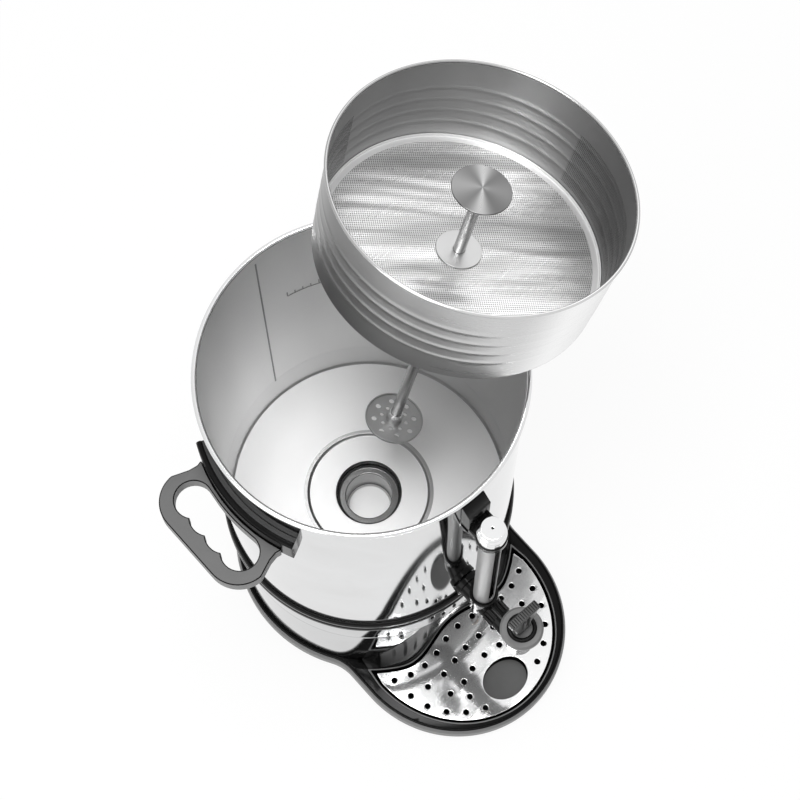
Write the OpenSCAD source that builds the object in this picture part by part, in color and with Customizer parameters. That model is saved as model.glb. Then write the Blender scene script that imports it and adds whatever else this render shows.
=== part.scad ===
// Coffee urn: a percolating urn with its filter basket lifted and leaned over the rim.
// The origin lies on the vessel's axis at the table. The tap faces -Y, the handles lie on X.

/* [Vessel] */
// Outside diameter of the vessel wall
vessel_d = 243; // [230:1:260]
// Thickness of the vessel wall
vessel_t = 0.8; // [0.6:0.1:1.2]
// Height of the rim above the table
rim_z = 467.5; // [430:0.5:520]
// Diameter of the rolled bead along the rim
rim_bead_d = 4.2; // [3:0.2:6]
// Height of the vessel floor above the table
floor_z = 151.5; // [140:0.5:165]
// Diameter of the pump well at the floor
well_d = 54.4; // [50:0.2:60]
// Diameter of the pump well below its ledge
well_neck_d = 40; // [34:0.5:44]
// Depth of the ledge that carries the pump foot
well_ledge_h = 12; // [8:0.5:16]
// Whole depth of the pump well
well_h = 46; // [36:0.5:52]
// Diameter of the embossed ring round the well
floor_ring_d = 102; // [90:1:120]

/* [Housing] */
// How far the lower skirt stands back from the vessel wall
skirt_step = 1.5; // [1.2:0.1:4]
// Thickness of the skirt
skirt_t = 0.8; // [0.6:0.1:1.2]
// Height of the middle of the band that covers the joint
band_z = 167; // [165:0.5:172]
// Height of the band
band_h = 20; // [16:0.5:24]
// How far the band stands out from the skirt
band_out = 4.8; // [3:0.2:7]

/* [Base] */
// How far the round part of the base stands out past the skirt
base_step = 5; // [3.5:0.5:12]
// Height of the top of the base
base_z = 19.2; // [17:0.2:24]
// Half width of the front lobe
lobe_a = 100.5; // [94:0.5:110]
// Length of the lobe's rounded end
lobe_b = 104.7; // [94:0.5:116]
// Distance from the axis to the centre of the lobe
lobe_y = 112; // [104:0.5:120]
// Radius of the fillet between the lobe and the round part
lobe_fillet = 40; // [20:1:60]
// Wall of the moulded base
base_t = 2.6; // [2:0.1:3.5]
// Height of the rubber feet, and clear height under the base
foot_h = 2.4; // [1.6:0.1:3]
// Diameter of the rubber feet
foot_d = 20; // [14:0.5:26]

/* [Drip tray] */
// Width of the base beside the drip plate
rim_side = 14.5; // [12:0.5:20]
// Width of the base in front of the drip plate
rim_front = 9.7; // [8:0.1:16]
// Thickness of the drip plate
plate_t = 1.4; // [1:0.1:2.5]
// Gap between the drip plate and the rim of the base
plate_play = 2; // [1:0.1:2.4]
// Height of the drip plate's top above the table
plate_z = 18.4; // [16:0.2:19]
// Diameter of the drain holes
drain_d = 4.6; // [3:0.1:6]
// Width of the oval hole under the nozzle
oval_w = 44; // [36:0.5:50]
// Length of the oval hole from back to front
oval_l = 35; // [28:0.5:40]
// How far the oval hole's middle lies behind the nozzle's axis
oval_back = 6.2; // [2:0.1:10]
// Distance from the skirt to the tray's inner edge beside the niche
collar_step = 12; // [10:0.5:14]
// Depth of the niche in front of the skirt
niche_depth = 21; // [17:0.5:22]
// Half width of the niche
niche_w = 64; // [60:1:70]

/* [Front cowl] */
// Height of the cowl's top edge above the table
cowl_top = 114; // [106:1:130]
// Half width of the cowl at its top
cowl_half = 41; // [36:1:46]
// Half width of the cowl at its foot
cowl_foot = 86.5; // [80:0.5:87]
// Wall of the cowl
cowl_t = 2.2; // [1.8:0.1:2.6]
// Width of the lip between the gap round the drip plate and the cowl
lip_w = 2; // [1.5:0.1:3]
// Width of the power switch
switch_w = 20; // [18:0.5:22]
// Height of the power switch
switch_h = 26; // [24:0.5:28]
// Distance of the switch from the middle of the cowl
switch_x = 34; // [32:0.5:36]
// Height of the middle of the switch above the table
switch_z = 62; // [56:1:66]

/* [Handles] */
// Height of the top of the grips
grip_z = 400; // [360:1:420]
// Thickness of the grips
grip_t = 15; // [10:0.5:20]
// How far a grip reaches out from the vessel wall
grip_out = 51; // [44:0.5:60]
// Half width of a grip
grip_half = 52; // [49:0.5:60]
// Radius of a grip's outer corners
grip_corner = 26; // [18:0.5:30]
// Radius of each finger hollow
finger_r = 14.5; // [12:0.5:16]
// Distance between the finger hollows
finger_pitch = 18; // [16:0.5:20]
// Depth of the grip outside the finger hollows
grip_bar = 12.2; // [9:0.2:16]
// Angle that a handle mount covers
mount_angle = 50; // [44:1:56]
// Height of a handle mount
mount_h = 30; // [24:1:36]
// How far a handle mount stands out from the vessel
mount_out = 8.6; // [6:0.2:11]

/* [Sight column] */
// Distance from the vessel wall to the column's axis
column_out = 22.5; // [21.5:0.5:26]
// Outside diameter of the chromed guard tube
guard_d = 17.8; // [16:0.2:19]
// Wall of the guard tube
guard_t = 1; // [0.8:0.1:1.4]
// Outside diameter of the sight glass
glass_d = 11; // [8:0.2:12]
// Wall of the sight glass
glass_t = 1.4; // [1:0.1:1.8]
// Height of the top of the column
column_z = 431; // [400:1:450]
// Width of the window in the guard tube
window_w = 6; // [4:0.2:8]
// Height of the top of the bracket's root above the table
root_z = 449; // [440:1:455]
// How far the bracket's root stands out from the vessel wall
root_out = 9; // [7:0.2:10]

/* [Tap] */
// Height of the tap's axis above the table
tap_z = 205; // [196:0.5:215]
// Distance from the column's axis to the nozzle's axis
nozzle_out = 44.5; // [42:0.5:48]
// Outside diameter of the tap barrel
barrel_d = 19.6; // [18:0.2:22]
// Bore of the shank
shank_bore = 9; // [7:0.2:10]
// Diameter of the tap's bonnet
bonnet_d = 35.4; // [34:0.2:40]
// Height of the bonnet's top above the tap's axis
bonnet_up = 41; // [38:0.5:46]
// Distance from the tap's axis down to the nozzle's mouth
nozzle_down = 24; // [20:0.5:30]
// Outside diameter of the nozzle
nozzle_d = 16; // [14:0.2:18]
// Height of the lever above its pin
lever_h = 42; // [34:0.5:50]
// Width of the lever's thumb ridge
lever_w = 29; // [24:0.5:34]
// Diameter of the lever's pin
pin_d = 4; // [3:0.1:5]

/* [Filter] */
// Lean of the lifted filter from upright
lean = 19.03; // [12:0.01:20]
// Direction towards which the lifted filter leans, from +X
lean_dir = 8.58; // [0:0.01:12]
// Height of the point where the pump stem's axis crosses the vessel's axis
lean_z = 172; // [168:1:176]
// Distance along the stem from that point to the basket floor
basket_up = 340.5; // [338:0.5:350]
// Clearance between the basket's rim and the vessel wall
basket_play = 6.2; // [5:0.1:9]
// How much narrower the basket is at its floor than at its rim, on the radius
basket_taper = 6.5; // [5:0.1:9]
// Height of the basket from its lower edge to its rim
basket_h = 85.6; // [70:0.2:92]
// Height of the basket floor above the lower edge
basket_floor_up = 5.6; // [3:0.2:8]
// Thickness of the basket sheet
basket_t = 0.8; // [0.6:0.1:1.2]
// Outside diameter of the pump stem
stem_d = 9; // [7:0.2:10]
// Wall of the pump stem
stem_t = 1; // [0.8:0.1:1.2]
// Distance from the basket floor down to the pump foot
foot_down = 233.4; // [225:0.2:240]
// Clearance between the pump foot and the wall of the well
pump_foot_play = 3.3; // [2.6:0.1:4]
// Distance from the basket floor up to the spreader
spreader_up = 73.4; // [64:0.2:78]
// Diameter of the spreader
spreader_d = 44.8; // [40:0.2:50]
// Diameter of the washer at the basket floor
hub_d = 35; // [30:0.5:40]

/* [Fits] */
// Running clearance of pins and sliding stems, on the radius
run_gap = 0.06; // [0.04:0.01:0.09]
// Clearance between loose pieces
gap = 0.3; // [0.25:0.05:0.6]

/* [Hidden] */
$fn = 96;

steel = [0.80, 0.81, 0.82];
chrome = [0.86, 0.88, 0.90];
black = [0.10, 0.10, 0.11];
grey = [0.35, 0.35, 0.36];
rubber = [0.16, 0.16, 0.16];
silicone = [0.85, 0.84, 0.80];

// ---- Vessel values
vessel_r = vessel_d / 2;
vessel_in = vessel_r - vessel_t;
bead_r = rim_bead_d / 2;
bead_centre = vessel_r + bead_r - vessel_t;
well_r = well_d / 2;
neck_r = well_neck_d / 2;
floor_t = vessel_t;
ring_drop = 1.4;

// ---- Housing values
skirt_r = vessel_r - skirt_step;
skirt_in = skirt_r - skirt_t;
base_r = skirt_r + base_step;
skirt_seat = base_z - 5;
band_low = band_z - band_h / 2;
band_high = band_z + band_h / 2;
joint_z = band_low + 3;
skirt_top = joint_z - gap;
cover_t = 1.2;
cover_r = skirt_in - 3;
cover_top = foot_h + cover_t;
chamber_r = skirt_in - 1.4;
pan_floor = 1.6;
rib_edge = 0.4;
groove_floor = 4;
// Room that the lip and the foot of the cowl take beside the drip plate's outline
wall_out = plate_play + lip_w + cowl_t + 0.2;

// ---- Base outline: a circle, two fillets and the elliptic end of the lobe
function fillet_y() = -sqrt(pow(base_r + lobe_fillet, 2) - pow(lobe_a + lobe_fillet, 2));
fillet_c = [lobe_a + lobe_fillet, fillet_y()];
fillet_turn = atan2(-fillet_c[1], fillet_c[0]);
arc_steps = 40;
fillet_steps = 4;
end_steps = 28;
function base_half(inset) = concat(
    [for (i = [0 : fillet_steps])
        let (a = 180 - fillet_turn + fillet_turn * i / fillet_steps)
        [fillet_c[0] + (lobe_fillet + inset) * cos(a), fillet_c[1] + (lobe_fillet + inset) * sin(a)]],
    [for (i = [0 : end_steps / 2])
        let (a = 180 * i / end_steps)
        [(lobe_a - inset) * cos(a), -lobe_y - (lobe_b - inset) * sin(a)]]);
function mirrored(points) = [for (i = [len(points) - 2 : -1 : 0]) [-points[i][0], points[i][1]]];
function base_arc(inset) = [for (i = [1 : arc_steps - 1])
    let (a = 180 + fillet_turn - (180 + 2 * fillet_turn) * i / arc_steps)
    [(base_r - inset) * cos(a), (base_r - inset) * sin(a)]];
function base_outline(inset = 0) = let (half = base_half(inset))
    concat(half, mirrored(half), base_arc(inset));

// ---- Drip plate outline: the lobe's end outside, a shallow niche towards the axis
plate_a = lobe_a - rim_side;
plate_b = lobe_b - rim_front;
collar_r = skirt_r + collar_step;
niche_steps = 20;
function niche_r(x) = collar_r - niche_depth * (1 + cos(180 * min(abs(x) / niche_w, 1))) / 2;
function niche_y(x, out = 0) = -sqrt(pow(niche_r(x) - out, 2) - x * x);
function plate_outline(grow = 0) = concat(
    [for (i = [0 : end_steps])
        let (a = 180 * i / end_steps)
        [(plate_a + grow) * cos(a), -lobe_y - (plate_b + grow) * sin(a)]],
    [for (i = [0 : niche_steps])
        let (x = (plate_a + grow - 2.2) * (2 * i / niche_steps - 1))
        [x, niche_y(x, grow)]]);

// ---- Column and tap values
column_y = vessel_r + column_out;
nozzle_y = column_y + nozzle_out;
oval_y = nozzle_y - oval_back;
guard_r = guard_d / 2;
glass_r = glass_d / 2;
tee_r = guard_r + 3;
tee_top = tap_z + 23;
tee_low = tap_z - 14;
clamp_z = column_z - 28;
clamp_h = 8;
cap_z = clamp_z + clamp_h;
cap_r = guard_r + 2.6;
flange_r = 12.4;
window_low = tee_top + 10;
window_high = clamp_z - 10;
barrel_r = barrel_d / 2;
nut_len = 13;
nut_y = column_y + tee_r - 2;
body_r = bonnet_d / 2 - 3.5;
bonnet_r = bonnet_d / 2;
bonnet_z = tap_z + bonnet_up;
bonnet_t = 6;
valve_seat_z = tap_z - 9;
chamber_top = bonnet_z - bonnet_t;
stem_rod_r = 2.6;
heel_r = 3.8;
heel_play = 0.4;
pin_z = bonnet_z + heel_r + heel_play;
cheek_w = 13;
cup_r = 8;
cup_h = 6;

// ---- Filter values
stem_r = stem_d / 2;
basket_z = basket_up;
wall_low_z = basket_up - basket_floor_up;
wall_top_z = wall_low_z + basket_h;
pump_foot_z = basket_up - foot_down;
spreader_z = basket_up + spreader_up;
hub_t = 1.2;
pump_foot_r = well_r - pump_foot_play;
collar_h = 3;
collar_ro = stem_r + 1.1;

// ---- Small helpers
module at_front(y, z = 0) { translate([0, -y, z]) children(); }
module along_y(y, z, x = 0) { translate([x, y, z]) rotate([90, 0, 0]) children(); }
module tube(ro, ri, h) {
    difference() {
        cylinder(r = ro, h = h);
        translate([0, 0, -1]) cylinder(r = ri, h = h + 2);
    }
}
// Puts a piece modelled upright on the vessel's axis into the lifted, leaning place
module lifted() {
    translate([0, 0, lean_z]) rotate([0, 0, lean_dir]) rotate([0, lean, 0]) children();
}
// Solid lofted through rings of the same number of points, each [inset, z]
module base_loft(profile) {
    rings = [for (p = profile) base_outline(p[0])];
    n = len(rings[0]);
    k = len(profile);
    polyhedron(
        points = [for (i = [0 : k - 1]) for (q = rings[i]) [q[0], q[1], profile[i][1]]],
        faces = concat(
            [[for (j = [0 : n - 1]) j]],
            [for (i = [0 : k - 2]) for (j = [0 : n - 1]) let (a = i * n + j, b = i * n + (j + 1) % n)
                each [[a, a + n, b + n], [a, b + n, b]]],
            [[for (j = [n - 1 : -1 : 0]) (k - 1) * n + j]]));
}

// ---- Vessel
module vessel_wall() {
    color(steel) difference() {
        rotate_extrude($fn = 180) union() {
            translate([vessel_in, joint_z]) square([vessel_t, rim_z - bead_r - joint_z]);
            translate([bead_centre, rim_z - bead_r]) difference() {
                circle(r = bead_r, $fn = 32);
                circle(r = bead_r - vessel_t, $fn = 32);
                translate([-2 * bead_r, -2 * bead_r]) square([2 * bead_r, 2 * bead_r]);
            }
        }
        along_y(0, tap_z) cylinder(r = shank_r + 0.5, h = vessel_r + 5);
        for (s = [-1, 1]) for (a = [-1, 1])
            rotate([0, 0, a * mount_angle / 3]) translate([0, 0, mount_z + mount_h / 2])
                rotate([0, s * 90, 0]) cylinder(r = 2.5, h = vessel_r + 5, $fn = 32);
    }
}
module vessel_floor() {
    // A pressed pan: its edge turns up inside the skirt and steps out under the wall
    edge = skirt_in - gap;
    lip = vessel_in - 0.05;
    ring_r = floor_ring_d / 2;
    low = floor_z - floor_t;
    ledge = floor_z - well_ledge_h;
    base = floor_z - well_h;
    color(steel) rotate_extrude($fn = 180) polygon([
        [0, base], [neck_r - 2, base], [neck_r, base + 2], [neck_r, ledge], [well_r - 2, ledge],
        [well_r, ledge + 2], [well_r, floor_z - ring_drop - 1.5],
        [well_r + 1.5, floor_z - ring_drop], [ring_r, floor_z - ring_drop], [ring_r + 2, floor_z],
        [edge - floor_t - 3, floor_z], [edge - floor_t, floor_z + 3], [edge - floor_t, joint_z],
        [lip - floor_t, joint_z + 2], [lip - floor_t, joint_z + 10], [lip, joint_z + 10],
        [lip, joint_z + 1.6], [edge, joint_z - 0.6], [edge, low + 3], [edge - 3, low],
        [ring_r + 2.4, low], [ring_r + 0.4, low - ring_drop], [well_r + floor_t + 0.6, low - ring_drop],
        [well_r + floor_t, low - ring_drop - 1], [well_r + floor_t, ledge + 1.6],
        [well_r - 1.6, ledge - floor_t], [neck_r + floor_t, ledge - floor_t],
        [neck_r + floor_t, base + 1.6], [neck_r - 1.6, base - floor_t], [0, base - floor_t]]);
}

// ---- Housing
module band_ring() {
    bead = band_h / 4;
    color(black) rotate_extrude($fn = 180) polygon([
        [skirt_r + 0.1, band_low], [skirt_r + 2.6, band_low],
        [skirt_r + band_out - 0.8, band_low + 1.6], [skirt_r + band_out, band_low + bead],
        [skirt_r + band_out - 0.6, band_z - 1.4], [skirt_r + band_out - 1.6, band_z],
        [skirt_r + band_out - 0.8, band_z + 1.2], [skirt_r + band_out - 0.6, band_high - bead],
        [skirt_r + band_out - 1.6, band_high - 1.6], [vessel_r + 0.9, band_high],
        [vessel_r + 0.05, band_high], [vessel_r + 0.05, joint_z], [skirt_r + 0.1, joint_z]]);
}
cowl_low = base_z + 0.05;
cowl_power = 1.2;
cowl_steps = 14;
cowl_cols = 18;
function cowl_w(z) = cowl_half
    + (cowl_foot - cowl_half) * pow(max(cowl_top - z, 0) / (cowl_top - cowl_low), cowl_power);
function cowl_z(x) = abs(x) <= cowl_half ? cowl_top
    : cowl_top - (cowl_top - cowl_low) * pow((abs(x) - cowl_half) / (cowl_foot - cowl_half), 1 / cowl_power);
function cowl_fade(x, z) = let (s = (z - cowl_low) / max(cowl_z(x) - cowl_low, 1))
    pow(max(1 - s, 0), 1.4);
function cowl_r(x, z, in = 0) =
    skirt_r - in + (niche_r(x) - plate_play - lip_w - skirt_r) * cowl_fade(x, z);
function cowl_y(x, z) = -sqrt(pow(cowl_r(x, z), 2) - x * x);
module skirt_window() {
    heights = [for (i = [0 : cowl_steps]) cowl_low + (cowl_top - cowl_low) * i / cowl_steps];
    side = [for (z = heights) [cowl_w(z) + gap, z]];
    low_w = cowl_w(cowl_low) + gap;
    at_front(skirt_r / 2) rotate([90, 0, 0]) linear_extrude(skirt_r)
        polygon(concat([[-low_w, 0], [low_w, 0]], side,
            [[side[cowl_steps][0], cowl_top + gap], [-side[cowl_steps][0], cowl_top + gap]],
            [for (i = [cowl_steps : -1 : 0]) [-side[i][0], side[i][1]]]));
}
gland_z = 46;
gland_r = 8;
module lower_skirt() {
    color(steel) difference() {
        translate([0, 0, skirt_seat]) rotate_extrude($fn = 180)
            translate([skirt_in, 0]) square([skirt_t, skirt_top - skirt_seat]);
        skirt_window();
        along_y(skirt_r + 5, gland_z) cylinder(r = gland_r, h = 12);
    }
}
module front_cowl() {
    n = cowl_cols + 1;
    heights = [for (i = [0 : cowl_steps]) cowl_low + (cowl_top - cowl_low) * i / cowl_steps];
    function grid(in) = [for (z = heights) for (j = [0 : cowl_cols])
        let (x = cowl_w(z) * (2 * j / cowl_cols - 1), r = cowl_r(x, z, in))
        [x, -sqrt(r * r - x * x), z]];
    k = cowl_steps + 1;
    m = n * k;
    color(black) difference() {
        polyhedron(
            points = concat(grid(0), grid(cowl_t)),
            faces = concat(
                [for (i = [0 : k - 2]) for (j = [0 : n - 2]) each [
                    [i * n + j, (i + 1) * n + j, (i + 1) * n + j + 1],
                    [i * n + j, (i + 1) * n + j + 1, i * n + j + 1]]],
                [for (i = [0 : k - 2]) for (j = [0 : n - 2]) each [
                    [m + i * n + j, m + (i + 1) * n + j + 1, m + (i + 1) * n + j],
                    [m + i * n + j, m + i * n + j + 1, m + (i + 1) * n + j + 1]]],
                [for (j = [0 : n - 2]) each [[j, j + 1, m + j + 1], [j, m + j + 1, m + j]]],
                [for (j = [0 : n - 2]) each let (b = (k - 1) * n + j)
                    [[b, m + b + 1, b + 1], [b, m + b, m + b + 1]]],
                [for (i = [0 : k - 2]) each let (b = i * n)
                    [[b, m + b + n, b + n], [b, m + b, m + b + n]]],
                [for (i = [0 : k - 2]) each let (b = i * n + n - 1)
                    [[b, b + n, m + b + n], [b, m + b + n, m + b]]]));
        switch_place() {
            translate([0, 0, -switch_w]) linear_extrude(2 * switch_w)
                square([switch_w + gap, switch_h + gap], center = true);
            translate([0, 0, bezel_back - gap / 2]) linear_extrude(switch_w)
                square([switch_w + 2 * bezel_w + gap, switch_h + 2 * bezel_w + gap], center = true);
        }
        for (s = [-1, 1]) lamp_place(s) translate([0, 0, -switch_w])
            cylinder(r = lamp_r + gap / 2, h = 2 * switch_w);
    }
}

// ---- Base
rim_round = [[0, foot_h], [0, base_z - 5.4], [1, base_z - 2.4], [3, base_z - 0.7], [6, base_z]];
module base_tray() {
    color(black) difference() {
        base_loft(rim_round);
        // hollow underside of the rim
        translate([0, 0, -1]) linear_extrude(base_z - base_t + 1) difference() {
            polygon(base_outline(base_t));
            polygon(plate_outline(plate_play + base_t - 0.6));
            circle(r = skirt_r + 2, $fn = 180);
        }
        // recess of the bottom cover, the flange it is screwed to, and the room above
        translate([0, 0, -1]) chamber(cover_top + 1);
        translate([0, 0, -1]) chamber(base_z, flange_w);
        translate([0, 0, cover_top + screw_grip]) chamber(base_z);
        translate([0, 0, -1]) linear_extrude(base_z)
            for (p = cover_screw_places) translate(p) circle(r = screw_r + gap / 3, $fn = 24);
        // seat of the skirt
        translate([0, 0, skirt_seat]) linear_extrude(base_z) difference() {
            circle(r = skirt_r + 0.15, $fn = 180);
            polygon(plate_outline(wall_out));
        }
        // the gap round the drip plate, the top of the rib that carries it, and the pan inside
        translate([0, 0, foot_h + pan_floor + groove_floor]) linear_extrude(base_z) difference() {
            polygon(plate_outline(plate_play));
            polygon(plate_outline(-rib_edge));
        }
        translate([0, 0, plate_z - plate_t]) linear_extrude(base_z) polygon(plate_outline(plate_play / 3));
        translate([0, 0, foot_h + pan_floor]) linear_extrude(base_z)
            polygon(plate_outline(-rib_edge - base_t));
    }
}
module chamber(h, inset = 0) {
    linear_extrude(h) difference() {
        circle(r = chamber_r - inset, $fn = 180);
        polygon(plate_outline(wall_out + inset));
    }
}
function ring_places(r, angles) = [for (a = angles) [r * cos(a), r * sin(a)]];
foot_ring_r = 92;
foot_angles = [30, 90, 150, 215, 325];
lobe_foot = [52, -lobe_y - 46];
screw_r = 1.5;
flange_w = 9;
screw_grip = 3;
cover_screw_places = ring_places(cover_r - 4, [60, 120, 180, 0]);
module bottom_cover() {
    vents = 7;
    vent_w = 3;
    color(steel) translate([0, 0, foot_h]) linear_extrude(cover_t) difference() {
        circle(r = cover_r, $fn = 180);
        polygon(plate_outline(wall_out + gap));
        for (i = [0 : vents - 1]) translate([(i - (vents - 1) / 2) * 3 * vent_w, 45])
            square([vent_w, 30], center = true);
        for (p = cover_screw_places) translate(p) circle(r = screw_r + gap / 3, $fn = 24);
    }
}
module rubber_foot(p) {
    translate([p[0], p[1], 0]) cylinder(r1 = foot_d / 2 - 1, r2 = foot_d / 2, h = foot_h);
}
module rubber_feet() {
    color(rubber) {
        for (p = ring_places(foot_ring_r, foot_angles)) rubber_foot(p);
        for (s = [-1, 1]) rubber_foot([s * lobe_foot[0], lobe_foot[1]]);
    }
}
module cover_screws() {
    head_h = 1.4;
    color(steel) for (p = cover_screw_places) translate([p[0], p[1], foot_h]) {
        translate([0, 0, -head_h]) cylinder(r = 2 * screw_r, h = head_h, $fn = 32);
        translate([0, 0, -0.1]) cylinder(r = screw_r, h = cover_t + screw_grip, $fn = 32);
    }
}

// ---- Drip plate
row_a = [[0, 118.4], [16, 120.3], [31, 124.3], [46.5, 125.7], [61.5, 123.5], [76, 117.7]];
row_b = [[8, 137.8], [23.2, 140.3], [39, 143], [57.3, 142], [74.2, 138]];
row_c = [[0, 154.3], [16.3, 156.3], [30.2, 160.4], [46.5, 160.2], [69.3, 154.8]];
row_d = [[35.2, 173.7], [60, 170], [47.2, 182], [31.6, 190.5]];
module drain_holes() {
    for (p = concat(row_a, row_b, row_c, row_d)) for (s = p[0] == 0 ? [1] : [-1, 1])
        translate([s * p[0], -p[1], plate_z - plate_t - 5])
            cylinder(r = drain_d / 2, h = plate_t + 10, $fn = 24);
    at_front(oval_y, plate_z - plate_t - 5) linear_extrude(plate_t + 10) polygon([
        for (i = [0 : 47]) [oval_w / 2 * cos(7.5 * i), oval_l / 2 * sin(7.5 * i)]]);
}
module drip_plate() {
    color(chrome) difference() {
        translate([0, 0, plate_z - plate_t]) linear_extrude(plate_t) polygon(plate_outline(0));
        drain_holes();
    }
}

// ---- Handles
mount_z = grip_z - grip_t + 3;
mount_in = vessel_r + 0.1;
mount_r = vessel_r + mount_out;
grip_inner = mount_r + 0.15;
grip_reach = vessel_r + grip_out;
module side(s) { rotate([0, 0, s > 0 ? 0 : 180]) children(); }
module grip(s) {
    cx = grip_reach - grip_corner;
    fx = grip_reach - grip_bar - finger_r;
    neck = grip_half - 6;
    color(grey) side(s) translate([0, 0, grip_z - grip_t]) linear_extrude(grip_t) difference() {
        union() {
            for (y = [-1, 1]) translate([cx, y * (grip_half - grip_corner)]) circle(r = grip_corner);
            translate([cx, -grip_half + grip_corner]) square([grip_corner, 2 * (grip_half - grip_corner)]);
            polygon([
                [cx, -grip_half], [cx, grip_half], [cx - 13, neck + 0.8], [cx - 20, neck - 0.5],
                [cx - 26, neck + 1], [cx - 40, neck + 1], [cx - 40, -neck - 1], [cx - 26, -neck - 1],
                [cx - 20, -neck + 0.5], [cx - 13, -neck - 0.8]]);
        }
        for (i = [-1.5 : 1 : 1.5]) translate([fx, i * finger_pitch]) circle(r = finger_r);
        translate([0, -1.5 * finger_pitch]) square([fx, 3 * finger_pitch]);
        circle(r = grip_inner, $fn = 180);
    }
}
module grip_left() { grip(-1); }
module grip_right() { grip(1); }
module grip_mount(s) {
    low = mount_z;
    high = mount_z + mount_h;
    color(black) side(s) difference() {
        rotate([0, 0, -mount_angle / 2]) rotate_extrude(angle = mount_angle, $fn = 180) polygon([
            [mount_in, low], [mount_r - 1, low], [mount_r, low + 1], [mount_r, high - 3],
            [mount_r - 1, high - 1], [mount_r - 2.6, high], [mount_r - 4, high - 1.2],
            [mount_in + 2.4, high - 1.2], [mount_in, high - 0.4]]);
        for (a = [-1, 1]) rotate([0, 0, a * mount_angle / 3]) translate([0, 0, mount_z + mount_h / 2])
            rotate([0, 90, 0]) cylinder(r = 2, h = mount_r - 3, $fn = 32);
    }
}
module grip_mount_left() { grip_mount(-1); }
module grip_mount_right() { grip_mount(1); }
grip_screw_r = 1.9;
grip_head_r = 4.4;
grip_head_h = 1.9;
module grip_screws() {
    color(steel) for (s = [-1, 1]) side(s) for (a = [-1, 1])
        rotate([0, 0, a * mount_angle / 3]) translate([0, 0, mount_z + mount_h / 2]) rotate([0, 90, 0]) {
            translate([0, 0, vessel_in - grip_head_h - gap])
                cylinder(r1 = grip_screw_r + 1.1, r2 = grip_head_r, h = grip_head_h, $fn = 32);
            translate([0, 0, vessel_in - 1])
                cylinder(r = grip_screw_r, h = mount_r - 4 - vessel_in, $fn = 32);
        }
}

// ---- Sight column
module column_bracket() {
    w = 21;
    rib = 2;
    sink = 4;
    arm = column_y - vessel_r + sink;
    back = -vessel_r + sink;
    front = -vessel_r - root_out;
    color(black) difference() {
        union() {
            at_front(column_y, clamp_z) cylinder(r = guard_r + 3.4, h = clamp_h);
            translate([-w / 2, -column_y, clamp_z]) cube([w, arm, clamp_h]);
            translate([-w / 2, 0, 0]) rotate([90, 0, 90]) linear_extrude(w) polygon([
                [back, clamp_z - 6], [front + sink, clamp_z - 6], [front, clamp_z - 1],
                [front, root_z - root_out], [-vessel_r - 1.5, root_z], [back, root_z]]);
            for (x = [-w / 2, -rib / 2, w / 2 - rib]) translate([x, -column_y, clamp_z + clamp_h - 0.5])
                cube([rib, arm, rib + 0.1]);
        }
        at_front(column_y, clamp_z - 1) cylinder(r = guard_r + 0.05, h = clamp_h + 6);
        at_front(column_y, cap_z) cylinder(r = cap_r + gap / 2, h = clamp_h);
        translate([0, 0, clamp_z - clamp_h])
            cylinder(r = vessel_r + 0.1, h = root_z - clamp_z + 2 * clamp_h, $fn = 180);
    }
}
module guard_tube() {
    color(chrome) at_front(column_y) difference() {
        translate([0, 0, tee_top - 8]) tube(guard_r, guard_r - guard_t, cap_z - tee_top + 8);
        for (z = [window_low, window_high]) translate([0, 0, z]) rotate([90, 0, 0])
            cylinder(r = window_w / 2, h = guard_r + 2);
        translate([-window_w / 2, -guard_r - 2, window_low])
            cube([window_w, guard_r + 2, window_high - window_low]);
    }
}
module sight_glass() {
    color([0.75, 0.85, 0.88, 0.5]) at_front(column_y, tee_top - 14)
        tube(glass_r, glass_r - glass_t, cap_z - tee_top + 18);
}
module column_cap() {
    color(chrome) at_front(column_y) difference() {
        union() {
            translate([0, 0, cap_z]) cylinder(r = cap_r, h = 7);
            translate([0, 0, cap_z + 7]) cylinder(r1 = guard_r + 2.2, r2 = guard_r + 1.6, h = 3.5);
            translate([0, 0, cap_z + 10.5]) cylinder(r = guard_r + 0.9, h = 3.5);
            translate([0, 0, cap_z + 14])
                cylinder(r1 = guard_r + 0.9, r2 = guard_r + 0.2, h = column_z - cap_z - 14);
        }
        translate([0, 0, cap_z - 1]) cylinder(r = glass_r + 1.2, h = 7);
        translate([0, 0, cap_z]) cylinder(r = 1, h = 40, $fn = 24);
    }
}
module column_seals() {
    color(silicone) at_front(column_y) {
        translate([0, 0, tee_top - 12]) tube(glass_r + 1.1, glass_r + 0.02, 4);
        translate([0, 0, cap_z + 1]) tube(glass_r + 1.15, glass_r + 0.02, 2.6);
    }
}

// ---- Tap
tee_back = vessel_r + 3;
shank_r = shank_bore / 2 + 1.5;
shank_tail = 13;
nut_r = 12;
nut_h = 5;
seal_r = 10.5;
seal_h = 2;
body_low = 12;
taper_h = 5;
module tee_block() {
    color(black) difference() {
        union() {
            at_front(column_y, tee_low) cylinder(r = tee_r - 1, h = tee_top - tee_low);
            at_front(column_y, tee_top - 9) cylinder(r = tee_r, h = 9);
            along_y(-tee_back, tap_z) cylinder(r = barrel_r + 0.6, h = nut_y - tee_back - 0.1);
            along_y(-vessel_r + 3, tap_z) cylinder(r = flange_r, h = 9);
        }
        at_front(column_y, tee_top - 8) cylinder(r = guard_r + 0.05, h = 10);
        at_front(column_y, tee_top - 14) cylinder(r = glass_r + 1.2, h = 12);
        at_front(column_y, tap_z) cylinder(r = glass_r - glass_t, h = 30);
        along_y(-vessel_r + 4, tap_z) cylinder(r = shank_r + 0.05, h = nozzle_y - vessel_r);
        translate([0, 0, tap_z - 30]) cylinder(r = vessel_r + 0.2, h = 60, $fn = 180);
    }
}
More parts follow.
